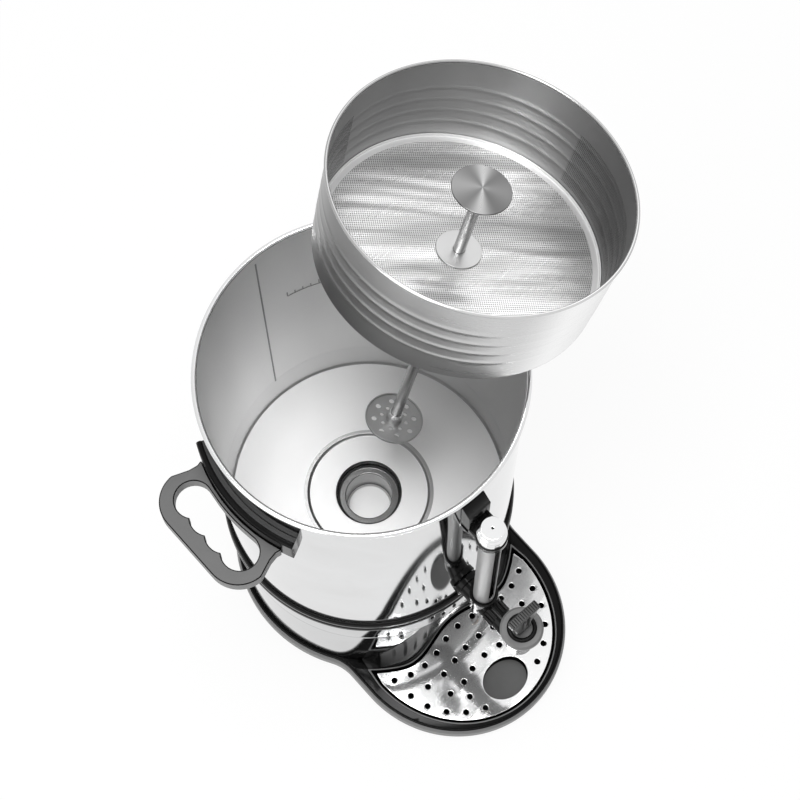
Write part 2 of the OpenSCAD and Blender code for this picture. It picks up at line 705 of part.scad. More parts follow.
module tap_shank() {
    color(steel) difference() {
        along_y(-vessel_in + shank_tail, tap_z)
            cylinder(r = shank_r, h = nozzle_y - body_r + 2 - vessel_in + shank_tail);
        along_y(-vessel_in + shank_tail + 1, tap_z) cylinder(r = shank_bore / 2, h = nozzle_y);
        at_front(column_y, tap_z) cylinder(r = 3, h = 30, $fn = 32);
    }
}
module shank_nut() {
    color(steel) along_y(-vessel_in + seal_h + nut_h + 1, tap_z) difference() {
        cylinder(r = nut_r, h = nut_h, $fn = 6);
        translate([0, 0, -1]) cylinder(r = shank_r + 0.05, h = nut_h + 2);
    }
}
module shank_seals() {
    color(silicone) along_y(-vessel_in + seal_h + 0.8, tap_z) tube(seal_r, shank_r + 0.05, seal_h);
}
module tap_body() {
    top = bonnet_z - bonnet_t;
    color(black) difference() {
        union() {
            // ribbed union nut and the barrel behind the valve chamber
            along_y(-nut_y, tap_z) {
                cylinder(r = barrel_r, h = nozzle_y - nut_y);
                for (a = [0 : 30 : 330]) rotate([0, 0, a]) translate([barrel_r - 0.4, -0.9, 1])
                    cube([1.3, 1.8, nut_len - 3]);
            }
            at_front(nozzle_y, tap_z - body_low) cylinder(r = body_r, h = top - tap_z + body_low);
            at_front(nozzle_y, tap_z - body_low - taper_h)
                cylinder(r1 = nozzle_d / 2, r2 = body_r, h = taper_h);
            at_front(nozzle_y, tap_z - nozzle_down) cylinder(r = nozzle_d / 2, h = 8);
        }
        at_front(column_y, tee_low - 1) cylinder(r = tee_r + gap / 3, h = tee_top - tee_low + 2);
        along_y(-nut_y + 2, tap_z) cylinder(r = shank_r + 0.05, h = nozzle_y - body_r - nut_y + 4);
        along_y(-nozzle_y + 12, tap_z) cylinder(r = shank_bore / 2, h = 10);
        at_front(nozzle_y, valve_seat_z) cylinder(r = cup_r + 1.4, h = 60);
        at_front(nozzle_y, tap_z - nozzle_down - 1) cylinder(r = 5, h = 30);
    }
}
module tap_bonnet() {
    color(black) at_front(nozzle_y) difference() {
        union() {
            translate([0, 0, chamber_top]) cylinder(r = bonnet_r, h = bonnet_t - 1.5);
            translate([0, 0, bonnet_z - 1.5]) cylinder(r1 = bonnet_r, r2 = bonnet_r - 1.5, h = 1.5);
            translate([0, 0, chamber_top - 6]) cylinder(r = cup_r + 1.35, h = 7);
        }
        translate([0, 0, chamber_top - 7]) cylinder(r = stem_rod_r + run_gap, h = bonnet_t + 10);
        translate([0, 0, chamber_top - 7]) cylinder(r = 6.4, h = 7);
    }
}
module tap_lever() {
    slot = 2 * stem_rod_r + 1.4;
    color(black) at_front(nozzle_y) difference() {
        union() {
            translate([-cheek_w / 2, 0, pin_z]) rotate([0, 90, 0]) cylinder(r = heel_r, h = cheek_w);
            lever_blade();
        }
        translate([-lever_w, 0, pin_z]) rotate([0, 90, 0])
            cylinder(r = pin_d / 2 + run_gap, h = 2 * lever_w);
        translate([-slot / 2, -10, pin_z - 10]) cube([slot, 20, 10 + stem_rod_r + 1.2]);
    }
}
module lever_blade() {
    // A paddle that widens from the pin to a broad thumb ridge
    top = pin_z + lever_h;
    face = [[cheek_w / 2, pin_z], [cheek_w / 2, pin_z + 10], [lever_w / 2, top - 9], [lever_w / 2, top]];
    flank = [[-3.4, pin_z - 1], [-2.6, top - 12], [-3.6, top - 1], [-2.6, top],
        [3.6, top], [4.4, top - 1.2], [2.6, top - 12], [3.6, pin_z - 1]];
    intersection() {
        translate([0, 20, 0]) rotate([90, 0, 0]) linear_extrude(40)
            polygon(concat(face, [for (i = [3 : -1 : 0]) [-face[i][0], face[i][1]]]));
        translate([-lever_w, 0, 0]) rotate([90, 0, 90]) linear_extrude(2 * lever_w) polygon(flank);
    }
}
module lever_pin() {
    color(steel) translate([-cheek_w / 2 - 1.2, -nozzle_y, pin_z]) rotate([0, 90, 0])
        cylinder(r = pin_d / 2, h = cheek_w + 2.4);
}
module valve_stem() {
    low = valve_seat_z + cup_h / 2;
    color(steel) at_front(nozzle_y) difference() {
        union() {
            translate([0, 0, low]) cylinder(r = stem_rod_r, h = pin_z - low);
            translate([-stem_rod_r, 0, pin_z]) rotate([0, 90, 0])
                cylinder(r = stem_rod_r + 0.6, h = 2 * stem_rod_r);
        }
        translate([-10, 0, pin_z]) rotate([0, 90, 0]) cylinder(r = pin_d / 2 + 0.01, h = 20);
    }
}
module seat_cup() {
    color(silicone) at_front(nozzle_y, valve_seat_z + 0.05) difference() {
        cylinder(r = cup_r, h = cup_h);
        translate([0, 0, cup_h / 2 - 0.05]) cylinder(r = stem_rod_r + 0.02, h = cup_h);
    }
}
module tap_spring() {
    // A coil from the seat cup up to the bonnet
    turns = 6;
    sides = 8;
    per_turn = 14;
    wire = 0.6;
    coil_r = 4.6;
    low = valve_seat_z + cup_h + 0.1 + wire;
    high = bonnet_z - bonnet_t - 0.1 - wire;
    n = turns * per_turn;
    color(steel) at_front(nozzle_y) polyhedron(
        points = [for (i = [0 : n]) let (a = 360 * i / per_turn, z = low + (high - low) * i / n)
            for (k = [0 : sides - 1]) let (b = 360 * k / sides, r = coil_r + wire * cos(b))
            [r * cos(a), r * sin(a), z + wire * sin(b)]],
        faces = sweep_faces(n, sides));
}

// ---- Heating and switching
therm_r = 10;
therm_h = 6.2;
cutout_r = 7;
cutout_h = 5.2;
rod_r = 3.2;
tail_r = 2;
tail_h = 12;
tail_x = 8;
sensor_r = floor_ring_d / 2 + therm_r + 3;
warm_r = sensor_r + therm_r + rod_r + 0.8;
sensor_turn = 50;
boil_h = 9;
strap_w = 14;
strap_t = 2;
under_floor = floor_z - floor_t;
well_base = floor_z - well_h - floor_t;
module boil_heater() {
    color(grey) {
        translate([0, 0, well_base - boil_h]) cylinder(r = neck_r - 2, h = boil_h);
        for (x = [-tail_x, tail_x]) translate([x, 0, well_base - boil_h - tail_x])
            cylinder(r = tail_r, h = tail_x + 0.5, $fn = 24);
    }
}
module warm_heater() {
    color(grey) {
        translate([0, 0, under_floor - rod_r]) rotate([0, 0, 20])
            rotate_extrude(angle = 320, $fn = 120) translate([warm_r, 0]) circle(r = rod_r, $fn = 24);
        for (a = [20, 340]) rotate([0, 0, a]) translate([warm_r, 0, under_floor - rod_r - tail_h])
            cylinder(r = tail_r, h = tail_h + 0.5, $fn = 24);
    }
}
module heater_clamp() {
    // A strap on two studs that holds the boiling heater against the well
    strap_z = well_base - boil_h - strap_t;
    reach = well_r + tail_x;
    stud_top = floor_z - floor_t - ring_drop;
    color(steel) {
        difference() {
            translate([-reach - 2 * tail_r, -strap_w / 2, strap_z])
                cube([2 * (reach + 2 * tail_r), strap_w, strap_t]);
            for (x = [-tail_x, tail_x]) translate([x, 0, strap_z - 1])
                cylinder(r = tail_r + 2 * gap, h = 2 * strap_t, $fn = 24);
        }
        for (x = [-reach, reach]) translate([x, 0, strap_z + strap_t - 0.1])
            cylinder(r = tail_r, h = stud_top - strap_z - strap_t + 0.1, $fn = 32);
    }
}
module thermostat() {
    color(grey) rotate([0, 0, sensor_turn]) translate([sensor_r, 0, under_floor]) {
        translate([0, 0, -therm_h]) cylinder(r = therm_r, h = therm_h);
        translate([0, 0, -1.5 * therm_h]) cylinder(r = 0.6 * therm_r, h = therm_h);
    }
}
module thermal_cutout() {
    color(grey) rotate([0, 0, 180 - sensor_turn]) translate([sensor_r, 0, under_floor - cutout_h])
        cylinder(r = cutout_r, h = cutout_h);
}
block_y = 60;
block_h = 14;
block_l = 44;
block_w = 16;
module terminal_block() {
    color(silicone) difference() {
        translate([-block_l / 2, block_y, cover_top]) cube([block_l, block_w, block_h]);
        for (x = wire_x) translate([x, block_y + block_w / 2, cover_top + 6])
            cylinder(r = wire_r + 0.8, h = block_h, $fn = 24);
    }
}
wire_r = 1.4;
wire_x = [-15, -5, 5, 15];
function bezier(p, t) = pow(1 - t, 3) * p[0] + 3 * pow(1 - t, 2) * t * p[1]
    + 3 * (1 - t) * t * t * p[2] + pow(t, 3) * p[3];
function unit(v) = v / norm(v);
// A slack lead that leaves both of its ends upright
module lead(from, to, sag) {
    steps = 12;
    sides = 6;
    p = [from, from + [0, 0, sag], to - [0, 0, sag], to];
    rings = [for (i = [0 : steps]) let (t = i / steps, c = bezier(p, t),
            d = bezier(p, min(t + 0.01, 1)) - bezier(p, max(t - 0.01, 0)),
            u = unit(cross(d, [1, 0.1, 0])), v = unit(cross(d, u)))
        for (k = [0 : sides - 1]) c + wire_r * (cos(360 * k / sides) * u + sin(360 * k / sides) * v)];
    polyhedron(points = rings, faces = sweep_faces(steps, sides));
}
// Faces of a closed tube of rings, capped at both ends
function sweep_faces(steps, sides) = concat(
    [[for (k = [0 : sides - 1]) k]],
    [for (i = [0 : steps - 1]) for (k = [0 : sides - 1])
        let (p = i * sides + k, q = i * sides + (k + 1) % sides)
        each [[p, p + sides, q + sides], [p, q + sides, q]]],
    [[for (k = [sides - 1 : -1 : 0]) steps * sides + k]]);
module wiring() {
    ends = [
        [-sensor_r * cos(sensor_turn), sensor_r * sin(sensor_turn), under_floor - cutout_h - 0.3],
        [-tail_x, 0, well_base - boil_h - tail_x - 0.2],
        [tail_x, 0, well_base - boil_h - tail_x - 0.2],
        [sensor_r * cos(sensor_turn), sensor_r * sin(sensor_turn), under_floor - 1.5 * therm_h - 0.1]];
    color(black) for (i = [0 : 3])
        lead([wire_x[i], block_y + block_w / 2, cover_top + 6.5], ends[i], 34);
}
switch_wall = 2.5;
switch_deep = 16;
bezel_w = 2;
bezel_back = 0.3;
bezel_t = 1.6;
pivot_r = 1.5;
pivot_in = 4;
pivot_end = 1.2;
lamp_r = 3.5;
lamp_up = 24;
lamp_x = 7;
rocker_tilt = 8;
switch_turn = atan2(
    cowl_y(switch_x + switch_w / 2, switch_z) - cowl_y(switch_x - switch_w / 2, switch_z), switch_w);
module on_cowl(x, z) {
    translate([x, cowl_y(x, z), z]) rotate([0, 0, switch_turn]) rotate([90, 0, 0]) children();
}
module switch_place() { on_cowl(switch_x, switch_z) children(); }
module lamp_place(s) { on_cowl(switch_x + s * lamp_x, switch_z + lamp_up) children(); }
module switch_housing() {
    room = [switch_w - 2 * switch_wall, switch_h - 2 * switch_wall];
    pin = room[0] / 2 + pivot_end;
    color(black) switch_place() difference() {
        union() {
            translate([0, 0, -switch_deep]) linear_extrude(switch_deep + 1)
                square([switch_w, switch_h], center = true);
            translate([0, 0, bezel_back]) linear_extrude(bezel_t)
                square([switch_w + 2 * bezel_w, switch_h + 2 * bezel_w], center = true);
        }
        translate([0, 0, -9]) linear_extrude(20) square(room, center = true);
        translate([-pin, 0, -pivot_in]) rotate([0, 90, 0]) cylinder(r = pivot_r + run_gap, h = 2 * pin);
    }
}
module rocker() {
    w = switch_w - 2 * switch_wall - 2 * gap;
    h = switch_h - 2 * switch_wall - 2 * gap;
    pin = w / 2 + pivot_end;
    color(black) switch_place() translate([0, 0, -pivot_in]) rotate([rocker_tilt, 0, 0]) union() {
        translate([-w / 2, 0, 0]) rotate([90, 0, 90]) linear_extrude(w)
            polygon([
                [-h / 2 + 1.6, 1], [0, -2.6], [h / 2 - 1.6, 1],
                [h / 2 - 1, 6.5], [0, 5], [-h / 2 + 1, 6.5]]);
        translate([-pin, 0, 0]) rotate([0, 90, 0]) cylinder(r = pivot_r, h = 2 * pin);
    }
}
module pilot_lamps() {
    color([0.85, 0.45, 0.12]) for (s = [-1, 1]) lamp_place(s) {
        translate([0, 0, -10]) cylinder(r = lamp_r, h = 11, $fn = 32);
        translate([0, 0, 0.9]) cylinder(r1 = lamp_r, r2 = lamp_r - 1, h = 1.2, $fn = 32);
    }
}
module cord_gland() {
    color(black) along_y(skirt_r + 3, gland_z) difference() {
        union() {
            cylinder(r = gland_r + 3, h = 2.8);
            translate([0, 0, 2]) cylinder(r = gland_r - 0.1, h = 8);
            translate([0, 0, -16]) cylinder(r1 = 5.4, r2 = 7, h = 16.5);
        }
        translate([0, 0, -17]) cylinder(r = 3.6, h = 30);
    }
}

// ---- Filter
basket_r = vessel_in - basket_play;
basket_low_r = basket_r - basket_taper;
function wall_r(z) = basket_low_r + (basket_r - 2 - basket_low_r) * (z - wall_low_z) / basket_h;
rib_heights = [22, 34, 46, 58];
rib_out = 0.9;
rib_h = 3;
function rib_points(side) = [for (h = rib_heights) for (q = [[-rib_h, 0], [0, rib_out], [rib_h, 0]])
    let (z = wall_low_z + h + q[0]) [wall_r(z) + q[1] - (side ? basket_t : 0), z]];
module basket_wall() {
    roll = 1.8;
    outer = concat([[wall_r(wall_low_z), wall_low_z]], rib_points(false),
        [[wall_r(wall_top_z - roll), wall_top_z - roll]]);
    inner = concat([[wall_r(wall_low_z) - basket_t, wall_low_z]], rib_points(true),
        [[wall_r(wall_top_z - roll) - basket_t, wall_top_z - roll]]);
    color(steel) lifted() rotate_extrude($fn = 180) union() {
        polygon(concat(outer, [for (i = [len(inner) - 1 : -1 : 0]) inner[i]]));
        translate([wall_r(wall_top_z - roll) + roll - basket_t, wall_top_z - roll])
            circle(r = roll, $fn = 32);
    }
}
hole_rings = 6;
hole_pitch = 13;
hole_start = 27;
hole_r = 1.6;
module basket_floor() {
    rim_in = wall_r(basket_z) - basket_t - 0.05;
    color(steel) lifted() difference() {
        union() {
            translate([0, 0, basket_z]) cylinder(r = rim_in, h = basket_t, $fn = 180);
            translate([0, 0, basket_z]) tube(rim_in, rim_in - 1.2, 3);
        }
        translate([0, 0, basket_z - 1]) cylinder(r = stem_r + 3, h = 5);
        for (i = [0 : hole_rings - 1])
            let (r = hole_start + i * hole_pitch, n = floor(2 * PI * r / hole_pitch))
            for (j = [0 : n - 1]) rotate([0, 0, 360 * j / n]) translate([r, 0, basket_z - 1])
                cylinder(r = hole_r, h = 4, $fn = 16);
    }
}
module basket_hub() {
    color(steel) lifted() difference() {
        union() {
            translate([0, 0, basket_z + basket_t + 0.02]) cylinder(r = hub_d / 2, h = hub_t);
            translate([0, 0, basket_z - 3]) cylinder(r = stem_r + 2.9, h = basket_t + 4);
        }
        translate([0, 0, basket_z - 5]) cylinder(r = stem_r + run_gap, h = 12);
    }
}
module pump_stem() {
    color(chrome) lifted() translate([0, 0, pump_foot_z + 2])
        tube(stem_r, stem_r - stem_t, spreader_z - pump_foot_z - 4);
}
module stem_collars() {
    color(chrome) lifted() {
        translate([0, 0, basket_z - 3 - collar_h - 0.05]) tube(collar_ro, stem_r + 0.01, collar_h);
        translate([0, 0, pump_foot_z + 7]) tube(collar_ro, stem_r + 0.01, 4);
        translate([0, 0, spreader_z - 12]) tube(collar_ro, stem_r + 0.01, 4);
    }
}
module pump_foot() {
    foot_holes = 8;
    color(steel) lifted() translate([0, 0, pump_foot_z]) difference() {
        union() {
            cylinder(r = pump_foot_r, h = 1.2);
            tube(pump_foot_r, pump_foot_r - 1.2, 2.4);
            cylinder(r = stem_r + 2, h = 7);
        }
        translate([0, 0, -1]) cylinder(r = stem_r - stem_t, h = 12);
        translate([0, 0, 2]) cylinder(r = stem_r + 0.02, h = 12);
        for (i = [0 : foot_holes - 1]) rotate([0, 0, 360 * i / foot_holes]) {
            translate([0.7 * pump_foot_r, 0, -1]) cylinder(r = 2.2, h = 5, $fn = 24);
            rotate([0, 0, 180 / foot_holes]) translate([0.44 * pump_foot_r, 0, -1])
                cylinder(r = 1.6, h = 5, $fn = 24);
        }
    }
}
module spreader() {
    color(steel) lifted() translate([0, 0, spreader_z - 6]) rotate_extrude() difference() {
        polygon([[0, 0], [stem_r + 2, 0], [stem_r + 2, 3], [spreader_d / 2 - 2, 3.6], [spreader_d / 2, 4.6],
            [spreader_d / 2 - 1.4, 6], [6, 8], [0, 8.2]]);
        translate([-1, -1]) square([stem_r + 1.02, 5]);
    }
}

vessel_wall();
vessel_floor();
band_ring();
lower_skirt();
base_tray();
front_cowl();
bottom_cover();
rubber_feet();
cover_screws();
drip_plate();
grip_left();
grip_right();
grip_mount_left();
grip_mount_right();
grip_screws();
column_bracket();
guard_tube();
sight_glass();
column_cap();
column_seals();
tee_block();
tap_shank();
shank_nut();
shank_seals();
tap_body();
tap_bonnet();
tap_lever();
lever_pin();
valve_stem();
seat_cup();
tap_spring();
boil_heater();
warm_heater();
heater_clamp();
thermostat();
thermal_cutout();
terminal_block();
wiring();
switch_housing();
rocker();
pilot_lamps();
cord_gland();
basket_wall();
basket_floor();
basket_hub();
pump_stem();
stem_collars();
pump_foot();
spreader();
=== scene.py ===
"""Looks of a percolating coffee urn with its filter lifted and leaned over the rim.

Every piece is built or dressed by a class of its own sub-assembly. Sizes are in millimetres
where nothing else is said. Meshes are made in metres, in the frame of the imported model: Z up,
the vessel on the Z axis, the tap towards -Y.
"""

import logging
import math
from dataclasses import dataclass, field
from enum import Enum
from functools import cache
from typing import Sequence

import bmesh
import bpy
from mathutils import Matrix, Vector
from mathutils.geometry import tessellate_polygon


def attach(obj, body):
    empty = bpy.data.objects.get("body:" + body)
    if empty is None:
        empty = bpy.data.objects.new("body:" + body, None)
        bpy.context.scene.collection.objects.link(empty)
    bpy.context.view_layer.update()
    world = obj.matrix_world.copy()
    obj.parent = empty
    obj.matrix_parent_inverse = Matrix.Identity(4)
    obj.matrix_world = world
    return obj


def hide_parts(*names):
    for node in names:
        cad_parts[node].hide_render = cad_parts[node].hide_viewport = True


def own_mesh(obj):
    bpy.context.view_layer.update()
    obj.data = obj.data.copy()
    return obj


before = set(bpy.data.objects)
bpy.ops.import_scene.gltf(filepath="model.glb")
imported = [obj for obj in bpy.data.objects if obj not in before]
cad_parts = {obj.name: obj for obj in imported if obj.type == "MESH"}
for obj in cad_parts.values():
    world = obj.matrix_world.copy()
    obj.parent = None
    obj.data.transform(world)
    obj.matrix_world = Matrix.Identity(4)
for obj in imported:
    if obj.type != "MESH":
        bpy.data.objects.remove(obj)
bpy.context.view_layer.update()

LOG = logging.getLogger("urn")
MM = 0.001
TINY = 1e-6
Socket = bpy.types.NodeSocket
Colour = tuple[float, float, float]
Point = tuple[float, float]
Pair = tuple[float, float]
Triple = tuple[float, float, float]


# ---------------------------------------------------------------------------
# Shader groups
# ---------------------------------------------------------------------------


class Wiring:
    """A node tree, with short ways to add its nodes and join them."""

    def __init__(self, tree: bpy.types.NodeTree) -> None:
        """Takes the tree that the nodes go into."""
        self.tree = tree

    def node(self, kind: str, inputs: dict | None = None, **settings: object) -> bpy.types.Node:
        """Adds a node.

        Args:
            kind: Blender's name of the node type.
            inputs: Numbers, colours or sockets for its inputs, by name or by place.
            **settings: Attributes to set on the node before its inputs are fed.

        Returns:
            The new node.
        """
        made = self.tree.nodes.new(kind)
        for key, value in settings.items():
            setattr(made, key, value)
        for key, value in (inputs or {}).items():
            self.feed(value, made.inputs[key])
        return made

    def feed(self, value: object, socket: Socket) -> None:
        """Links a socket, or sets a plain value, on an input."""
        if isinstance(value, Socket):
            self.tree.links.new(value, socket)
        else:
            socket.default_value = value

    def math(self, operation: str, *values: object, clamp: bool = False) -> Socket:
        """Adds a math node.

        Args:
            operation: The math operation.
            *values: Numbers or sockets, in order.
            clamp: Whether the result is kept between 0 and 1.

        Returns:
            The node's output.
        """
        inputs = dict(enumerate(values))
        return self.node("ShaderNodeMath", inputs, operation=operation, use_clamp=clamp).outputs[0]

    def noise(self, vector: Socket, **values: object) -> Socket:
        """Adds a noise texture over a coordinate and gives its value."""
        return self.node("ShaderNodeTexNoise", {"Vector": vector, **values}).outputs[0]

    def split(self, vector: Socket) -> tuple[Socket, ...]:
        """Splits a coordinate into its X, Y and Z."""
        return tuple(self.node("ShaderNodeSeparateXYZ", {0: vector}).outputs)

    def join(self, x: Socket, y: Socket, z: Socket | float) -> Socket:
        """Joins X, Y and Z into a coordinate."""
        return self.node("ShaderNodeCombineXYZ", {"X": x, "Y": y, "Z": z}).outputs[0]


class Effect(Wiring):
    """A shader node group over a coordinate, built once and placed in many materials."""

    def __init__(self, name: str, values: dict[str, float], *outputs: str) -> None:
        """Makes a group with the input Vector and nothing in it.

        Args:
            name: The group's name.
            values: Name and default of each further input.
            *outputs: Names of its outputs.
        """
        super().__init__(bpy.data.node_groups.new(name, "ShaderNodeTree"))
        sockets = self.tree.interface
        sockets.new_socket("Vector", in_out="INPUT", socket_type="NodeSocketVector")
        for label, default in values.items():
            made = sockets.new_socket(label, in_out="INPUT", socket_type="NodeSocketFloat")
            made.default_value = default
        for label in outputs:
            sockets.new_socket(label, in_out="OUTPUT", socket_type="NodeSocketFloat")
        self.given = self.tree.nodes.new("NodeGroupInput").outputs
        self.end = self.tree.nodes.new("NodeGroupOutput")

    def contrasted(self, value: Socket) -> Socket:
        """Spreads a value out from 0.5 by the input Contrast, and keeps it between 0 and 1."""
        centred = self.math("SUBTRACT", value, 0.5)
        return self.math("MULTIPLY_ADD", centred, self.given["Contrast"], 0.5, clamp=True)

    def bearing(self) -> Socket:
        """Gives the coordinate's direction round Z, counted from the input Angle."""
        x, y, _ = self.split(self.given["Vector"])
        return self.math("SUBTRACT", self.math("ARCTAN2", y, x), self.given["Angle"])

    def give(self, **results: Socket) -> "Effect":
        """Links results to the group's outputs by name and gives the group."""
        for label, socket in results.items():
            self.tree.links.new(socket, self.end.inputs[label])
        return self


@cache
def brushed_lines() -> Effect:
    """Builds the fine lines that a brushing wheel leaves along the first UV direction.

    Returns:
        A group with the outputs Height and Mask.
    """
    group = Effect("BrushedLines", {"Lines per metre": 900.0, "Length": 0.03}, "Height", "Mask")
    x, y, z = group.split(group.given["Vector"])
    along = group.math("DIVIDE", x, group.given["Length"])
    run = group.join(along, group.math("MULTIPLY", y, group.given["Lines per metre"]), z)
    fine = group.noise(run, Scale=1.0, Detail=3.0, Roughness=0.7)
    broad = group.noise(run, Scale=0.12, Detail=1.0)
    return group.give(Height=fine, Mask=group.math("MULTIPLY", fine, broad))


@cache
def handling_marks() -> Effect:
    """Builds soft uneven patches, as wiping and handling leave them.

    Returns:
        A group with the output Mask, from 0 to 1.
    """
    group = Effect("HandlingMarks", {"Scale": 14.0, "Contrast": 1.6}, "Mask")
    patches = group.noise(group.given["Vector"], Scale=group.given["Scale"], Detail=5.0, Distortion=0.6)
    return group.give(Mask=group.contrasted(patches))


@cache
def moulded_grain() -> Effect:
    """Builds the fine pebbled skin of a moulding.

    Returns:
        A group with the output Height.
    """
    group = Effect("MouldedGrain", {"Scale": 900.0}, "Height")
    vector, scale = group.given["Vector"], group.given["Scale"]
    cells = group.node("ShaderNodeTexVoronoi", {"Vector": vector, "Scale": scale}, feature="SMOOTH_F1")
    grain = group.noise(vector, Scale=group.math("MULTIPLY", scale, 0.6), Detail=2.0)
    return group.give(Height=group.math("ADD", cells.outputs["Distance"], grain))


@cache
def punched_dots() -> Effect:
    """Builds a square field of round holes over X and Y, in metres, where Z is between Low and High.

    Returns:
        A group with the output Hole, 1 inside a hole.
    """
    group = Effect("PunchedDots", {"Pitch": 0.0016, "Radius": 0.00052, "Low": 0.5, "High": 1.0}, "Hole")
    x, y, level = group.split(group.given["Vector"])
    pitch, squares = group.given["Pitch"], []
    for value in (x, y):
        cell = group.math("FRACT", group.math("DIVIDE", value, pitch))
        off = group.math("MULTIPLY", group.math("SUBTRACT", cell, 0.5), pitch)
        squares.append(group.math("MULTIPLY", off, off))
    reach = group.math("SQRT", group.math("ADD", *squares))
    inside = group.math("LESS_THAN", reach, group.given["Radius"])
    above = group.math("GREATER_THAN", level, group.given["Low"])
    below = group.math("LESS_THAN", level, group.given["High"])
    return group.give(Hole=group.math("MULTIPLY", inside, group.math("MULTIPLY", above, below)))


@cache
def painted_reflection_bands() -> Effect:
    """Builds wide soft painted reflection bands, light and dark, as polished sheet would mirror them along
    its grain.

    Returns:
        A group with the output Mask, from 0 to 1.
    """
    group = Effect("PaintedReflectionBands", {"Contrast": 2.2, "Detail": 1.5}, "Mask")
    bands = group.noise(group.given["Vector"], Scale=1.0, Detail=group.given["Detail"])
    return group.give(Mask=group.contrasted(bands))


@cache
def painted_wedge_sheen() -> Effect:
    """Builds painted highlight wedges on a disc whose face is turned on a lathe.

    Returns:
        A group with the output Mask, 1 in the middle of a wedge.
    """
    group = Effect("PaintedWedgeSheen", {"Angle": 0.0, "Tightness": 18.0}, "Mask")
    turned = group.bearing()
    ahead = group.math("ABSOLUTE", group.math("COSINE", turned))
    aside = group.math("ABSOLUTE", group.math("SINE", turned))
    wide = group.math("MULTIPLY", group.math("POWER", aside, 5.0), 0.35)
    return group.give(Mask=group.math("MAXIMUM", group.math("POWER", ahead, group.given["Tightness"]), wide))


@cache
def painted_side_sheen() -> Effect:
    """Builds one soft painted light side of a wall that is brushed round its axis: the colour is lighter on
    that side, as light would fall.

    Returns:
        A group with the output Mask, 1 on the painted light side.
    """
    group = Effect("PaintedSideSheen", {"Angle": 0.0, "Tightness": 2.0}, "Mask")
    half = group.math("MULTIPLY_ADD", group.math("COSINE", group.bearing()), 0.5, 0.5)
    return group.give(Mask=group.math("POWER", half, group.given["Tightness"]))


# ---------------------------------------------------------------------------
# Finishes
# ---------------------------------------------------------------------------


class Sheet(Wiring):
    """A new material with its Principled shader, and its coordinates in space and on the surface."""

    def __init__(self, name: str) -> None:
        """Makes the material.

        Args:
            name: Its name.
        """
        self.material = bpy.data.materials.new(name)
        self.material.use_nodes = True
        super().__init__(self.material.node_tree)
        self.shader = self.tree.nodes["Principled BSDF"]
        place = self.node("ShaderNodeTexCoord")
        self.solid, self.flat = place.outputs["Object"], place.outputs["UV"]

    def place(self, group: Effect, vector: Socket, **values: object) -> bpy.types.bpy_prop_collection:
        """Places a node group and feeds its inputs.

        Args:
            group: The effect to place.
            vector: The coordinate that it works over.
            **values: Numbers or sockets by input name, with _ for a space.

        Returns:
            The group's outputs.
        """
        inputs = {label.replace("_", " "): value for label, value in values.items()}
        return self.node("ShaderNodeGroup", {"Vector": vector, **inputs}, node_tree=group.tree).outputs

    def stretched(self, source: Socket, scale: Triple, turn: float = 0.0) -> Socket:
        """Turns a coordinate about Z by degrees, then scales it along each axis."""
        spun = self.node("ShaderNodeMapping", {"Vector": source, "Rotation": (0, 0, math.radians(turn))})
        return self.node("ShaderNodeMapping", {"Vector": spun.outputs[0], "Scale": scale}).outputs[0]

    def spread(self, mask: Socket, low: float, high: float) -> Socket:
        """Maps a mask of 0 to 1 onto low to high."""
        inputs = {"Value": mask, "To Min": low, "To Max": high}
        return self.node("ShaderNodeMapRange", inputs).outputs["Result"]

    def tint(self, mask: Socket, low: Colour | Socket, high: Colour) -> Socket:
        """Mixes two colours by a mask.

        Args:
            mask: The mask.
            low: The colour where it is 0.
            high: The colour where it is 1.

        Returns:
            The mixed colour.
        """
        low = low if isinstance(low, Socket) else (*low, 1.0)
        inputs = {"Factor": mask, "A": low, "B": (*high, 1.0)}
        return self.node("ShaderNodeMix", inputs, data_type="RGBA").outputs["Result"]

    def bump(self, height: Socket, strength: float, depth: float) -> Socket:
        """Gives the normal that a height makes, its depth in metres."""
        inputs = {"Strength": strength, "Distance": depth, "Height": height}
        return self.node("ShaderNodeBump", inputs).outputs["Normal"]

    def shade(self, **values: object) -> bpy.types.Material:
        """Sets or links the shader's own inputs, with _ for a space, and gives the material."""
        for label, value in values.items():
            self.feed(value, self.shader.inputs[label.replace("_", " ")])
        return self.material


class Grain(Enum):
    """Where a steel finish takes its handling patches, or its painted reflections and light side, from."""

    PATCHES = "soft patches"
    # These four paint light into the colour: reflection bands along Z, reflection bands across the face,
    # highlight wedges, and one lit side of a round wall.
    BANDS = "bands that run along Z"
    PAINTED_WAVES = "bands across the face, as a rolled sheet shows"
    PAINTED_WEDGES = "wedges round Z"
    ROUND = "one soft light side of a wall round Z"


@dataclass(frozen=True)
class Lean:
    """How the lifted filter leans.

    Attributes:
        cross: Height where the stem's axis crosses the vessel's.
        lean: Its lean from upright, in degrees.
        bearing: The direction that it leans towards, in degrees.
    """

    cross: float
    lean: float
    bearing: float

    def matrix(self) -> Matrix:
        """Gives the leaning place, in metres."""
        spin = turned(self.bearing) @ Matrix.Rotation(math.radians(self.lean), 4, "Y")
        return Matrix.Translation((0.0, 0.0, self.cross * MM)) @ spin

    def undone(self, sheet: Sheet) -> Socket:
        """Wires a material's coordinate in space back into the stem's own frame.

        Args:
            sheet: The material being built.

        Returns:
            The coordinate in the stem's frame.
        """
        turn = (0.0, math.radians(self.lean), math.radians(self.bearing))
        inputs = {"Vector": sheet.solid, "Location": (0.0, 0.0, self.cross * MM), "Rotation": turn}
        return sheet.node("ShaderNodeMapping", inputs, vector_type="TEXTURE").outputs[0]


FILTER_LEAN = Lean(172.0, 19.03, 8.58)
BRUSHING_DEPTH = 0.02 * MM
PEBBLE_DEPTH = 0.08 * MM
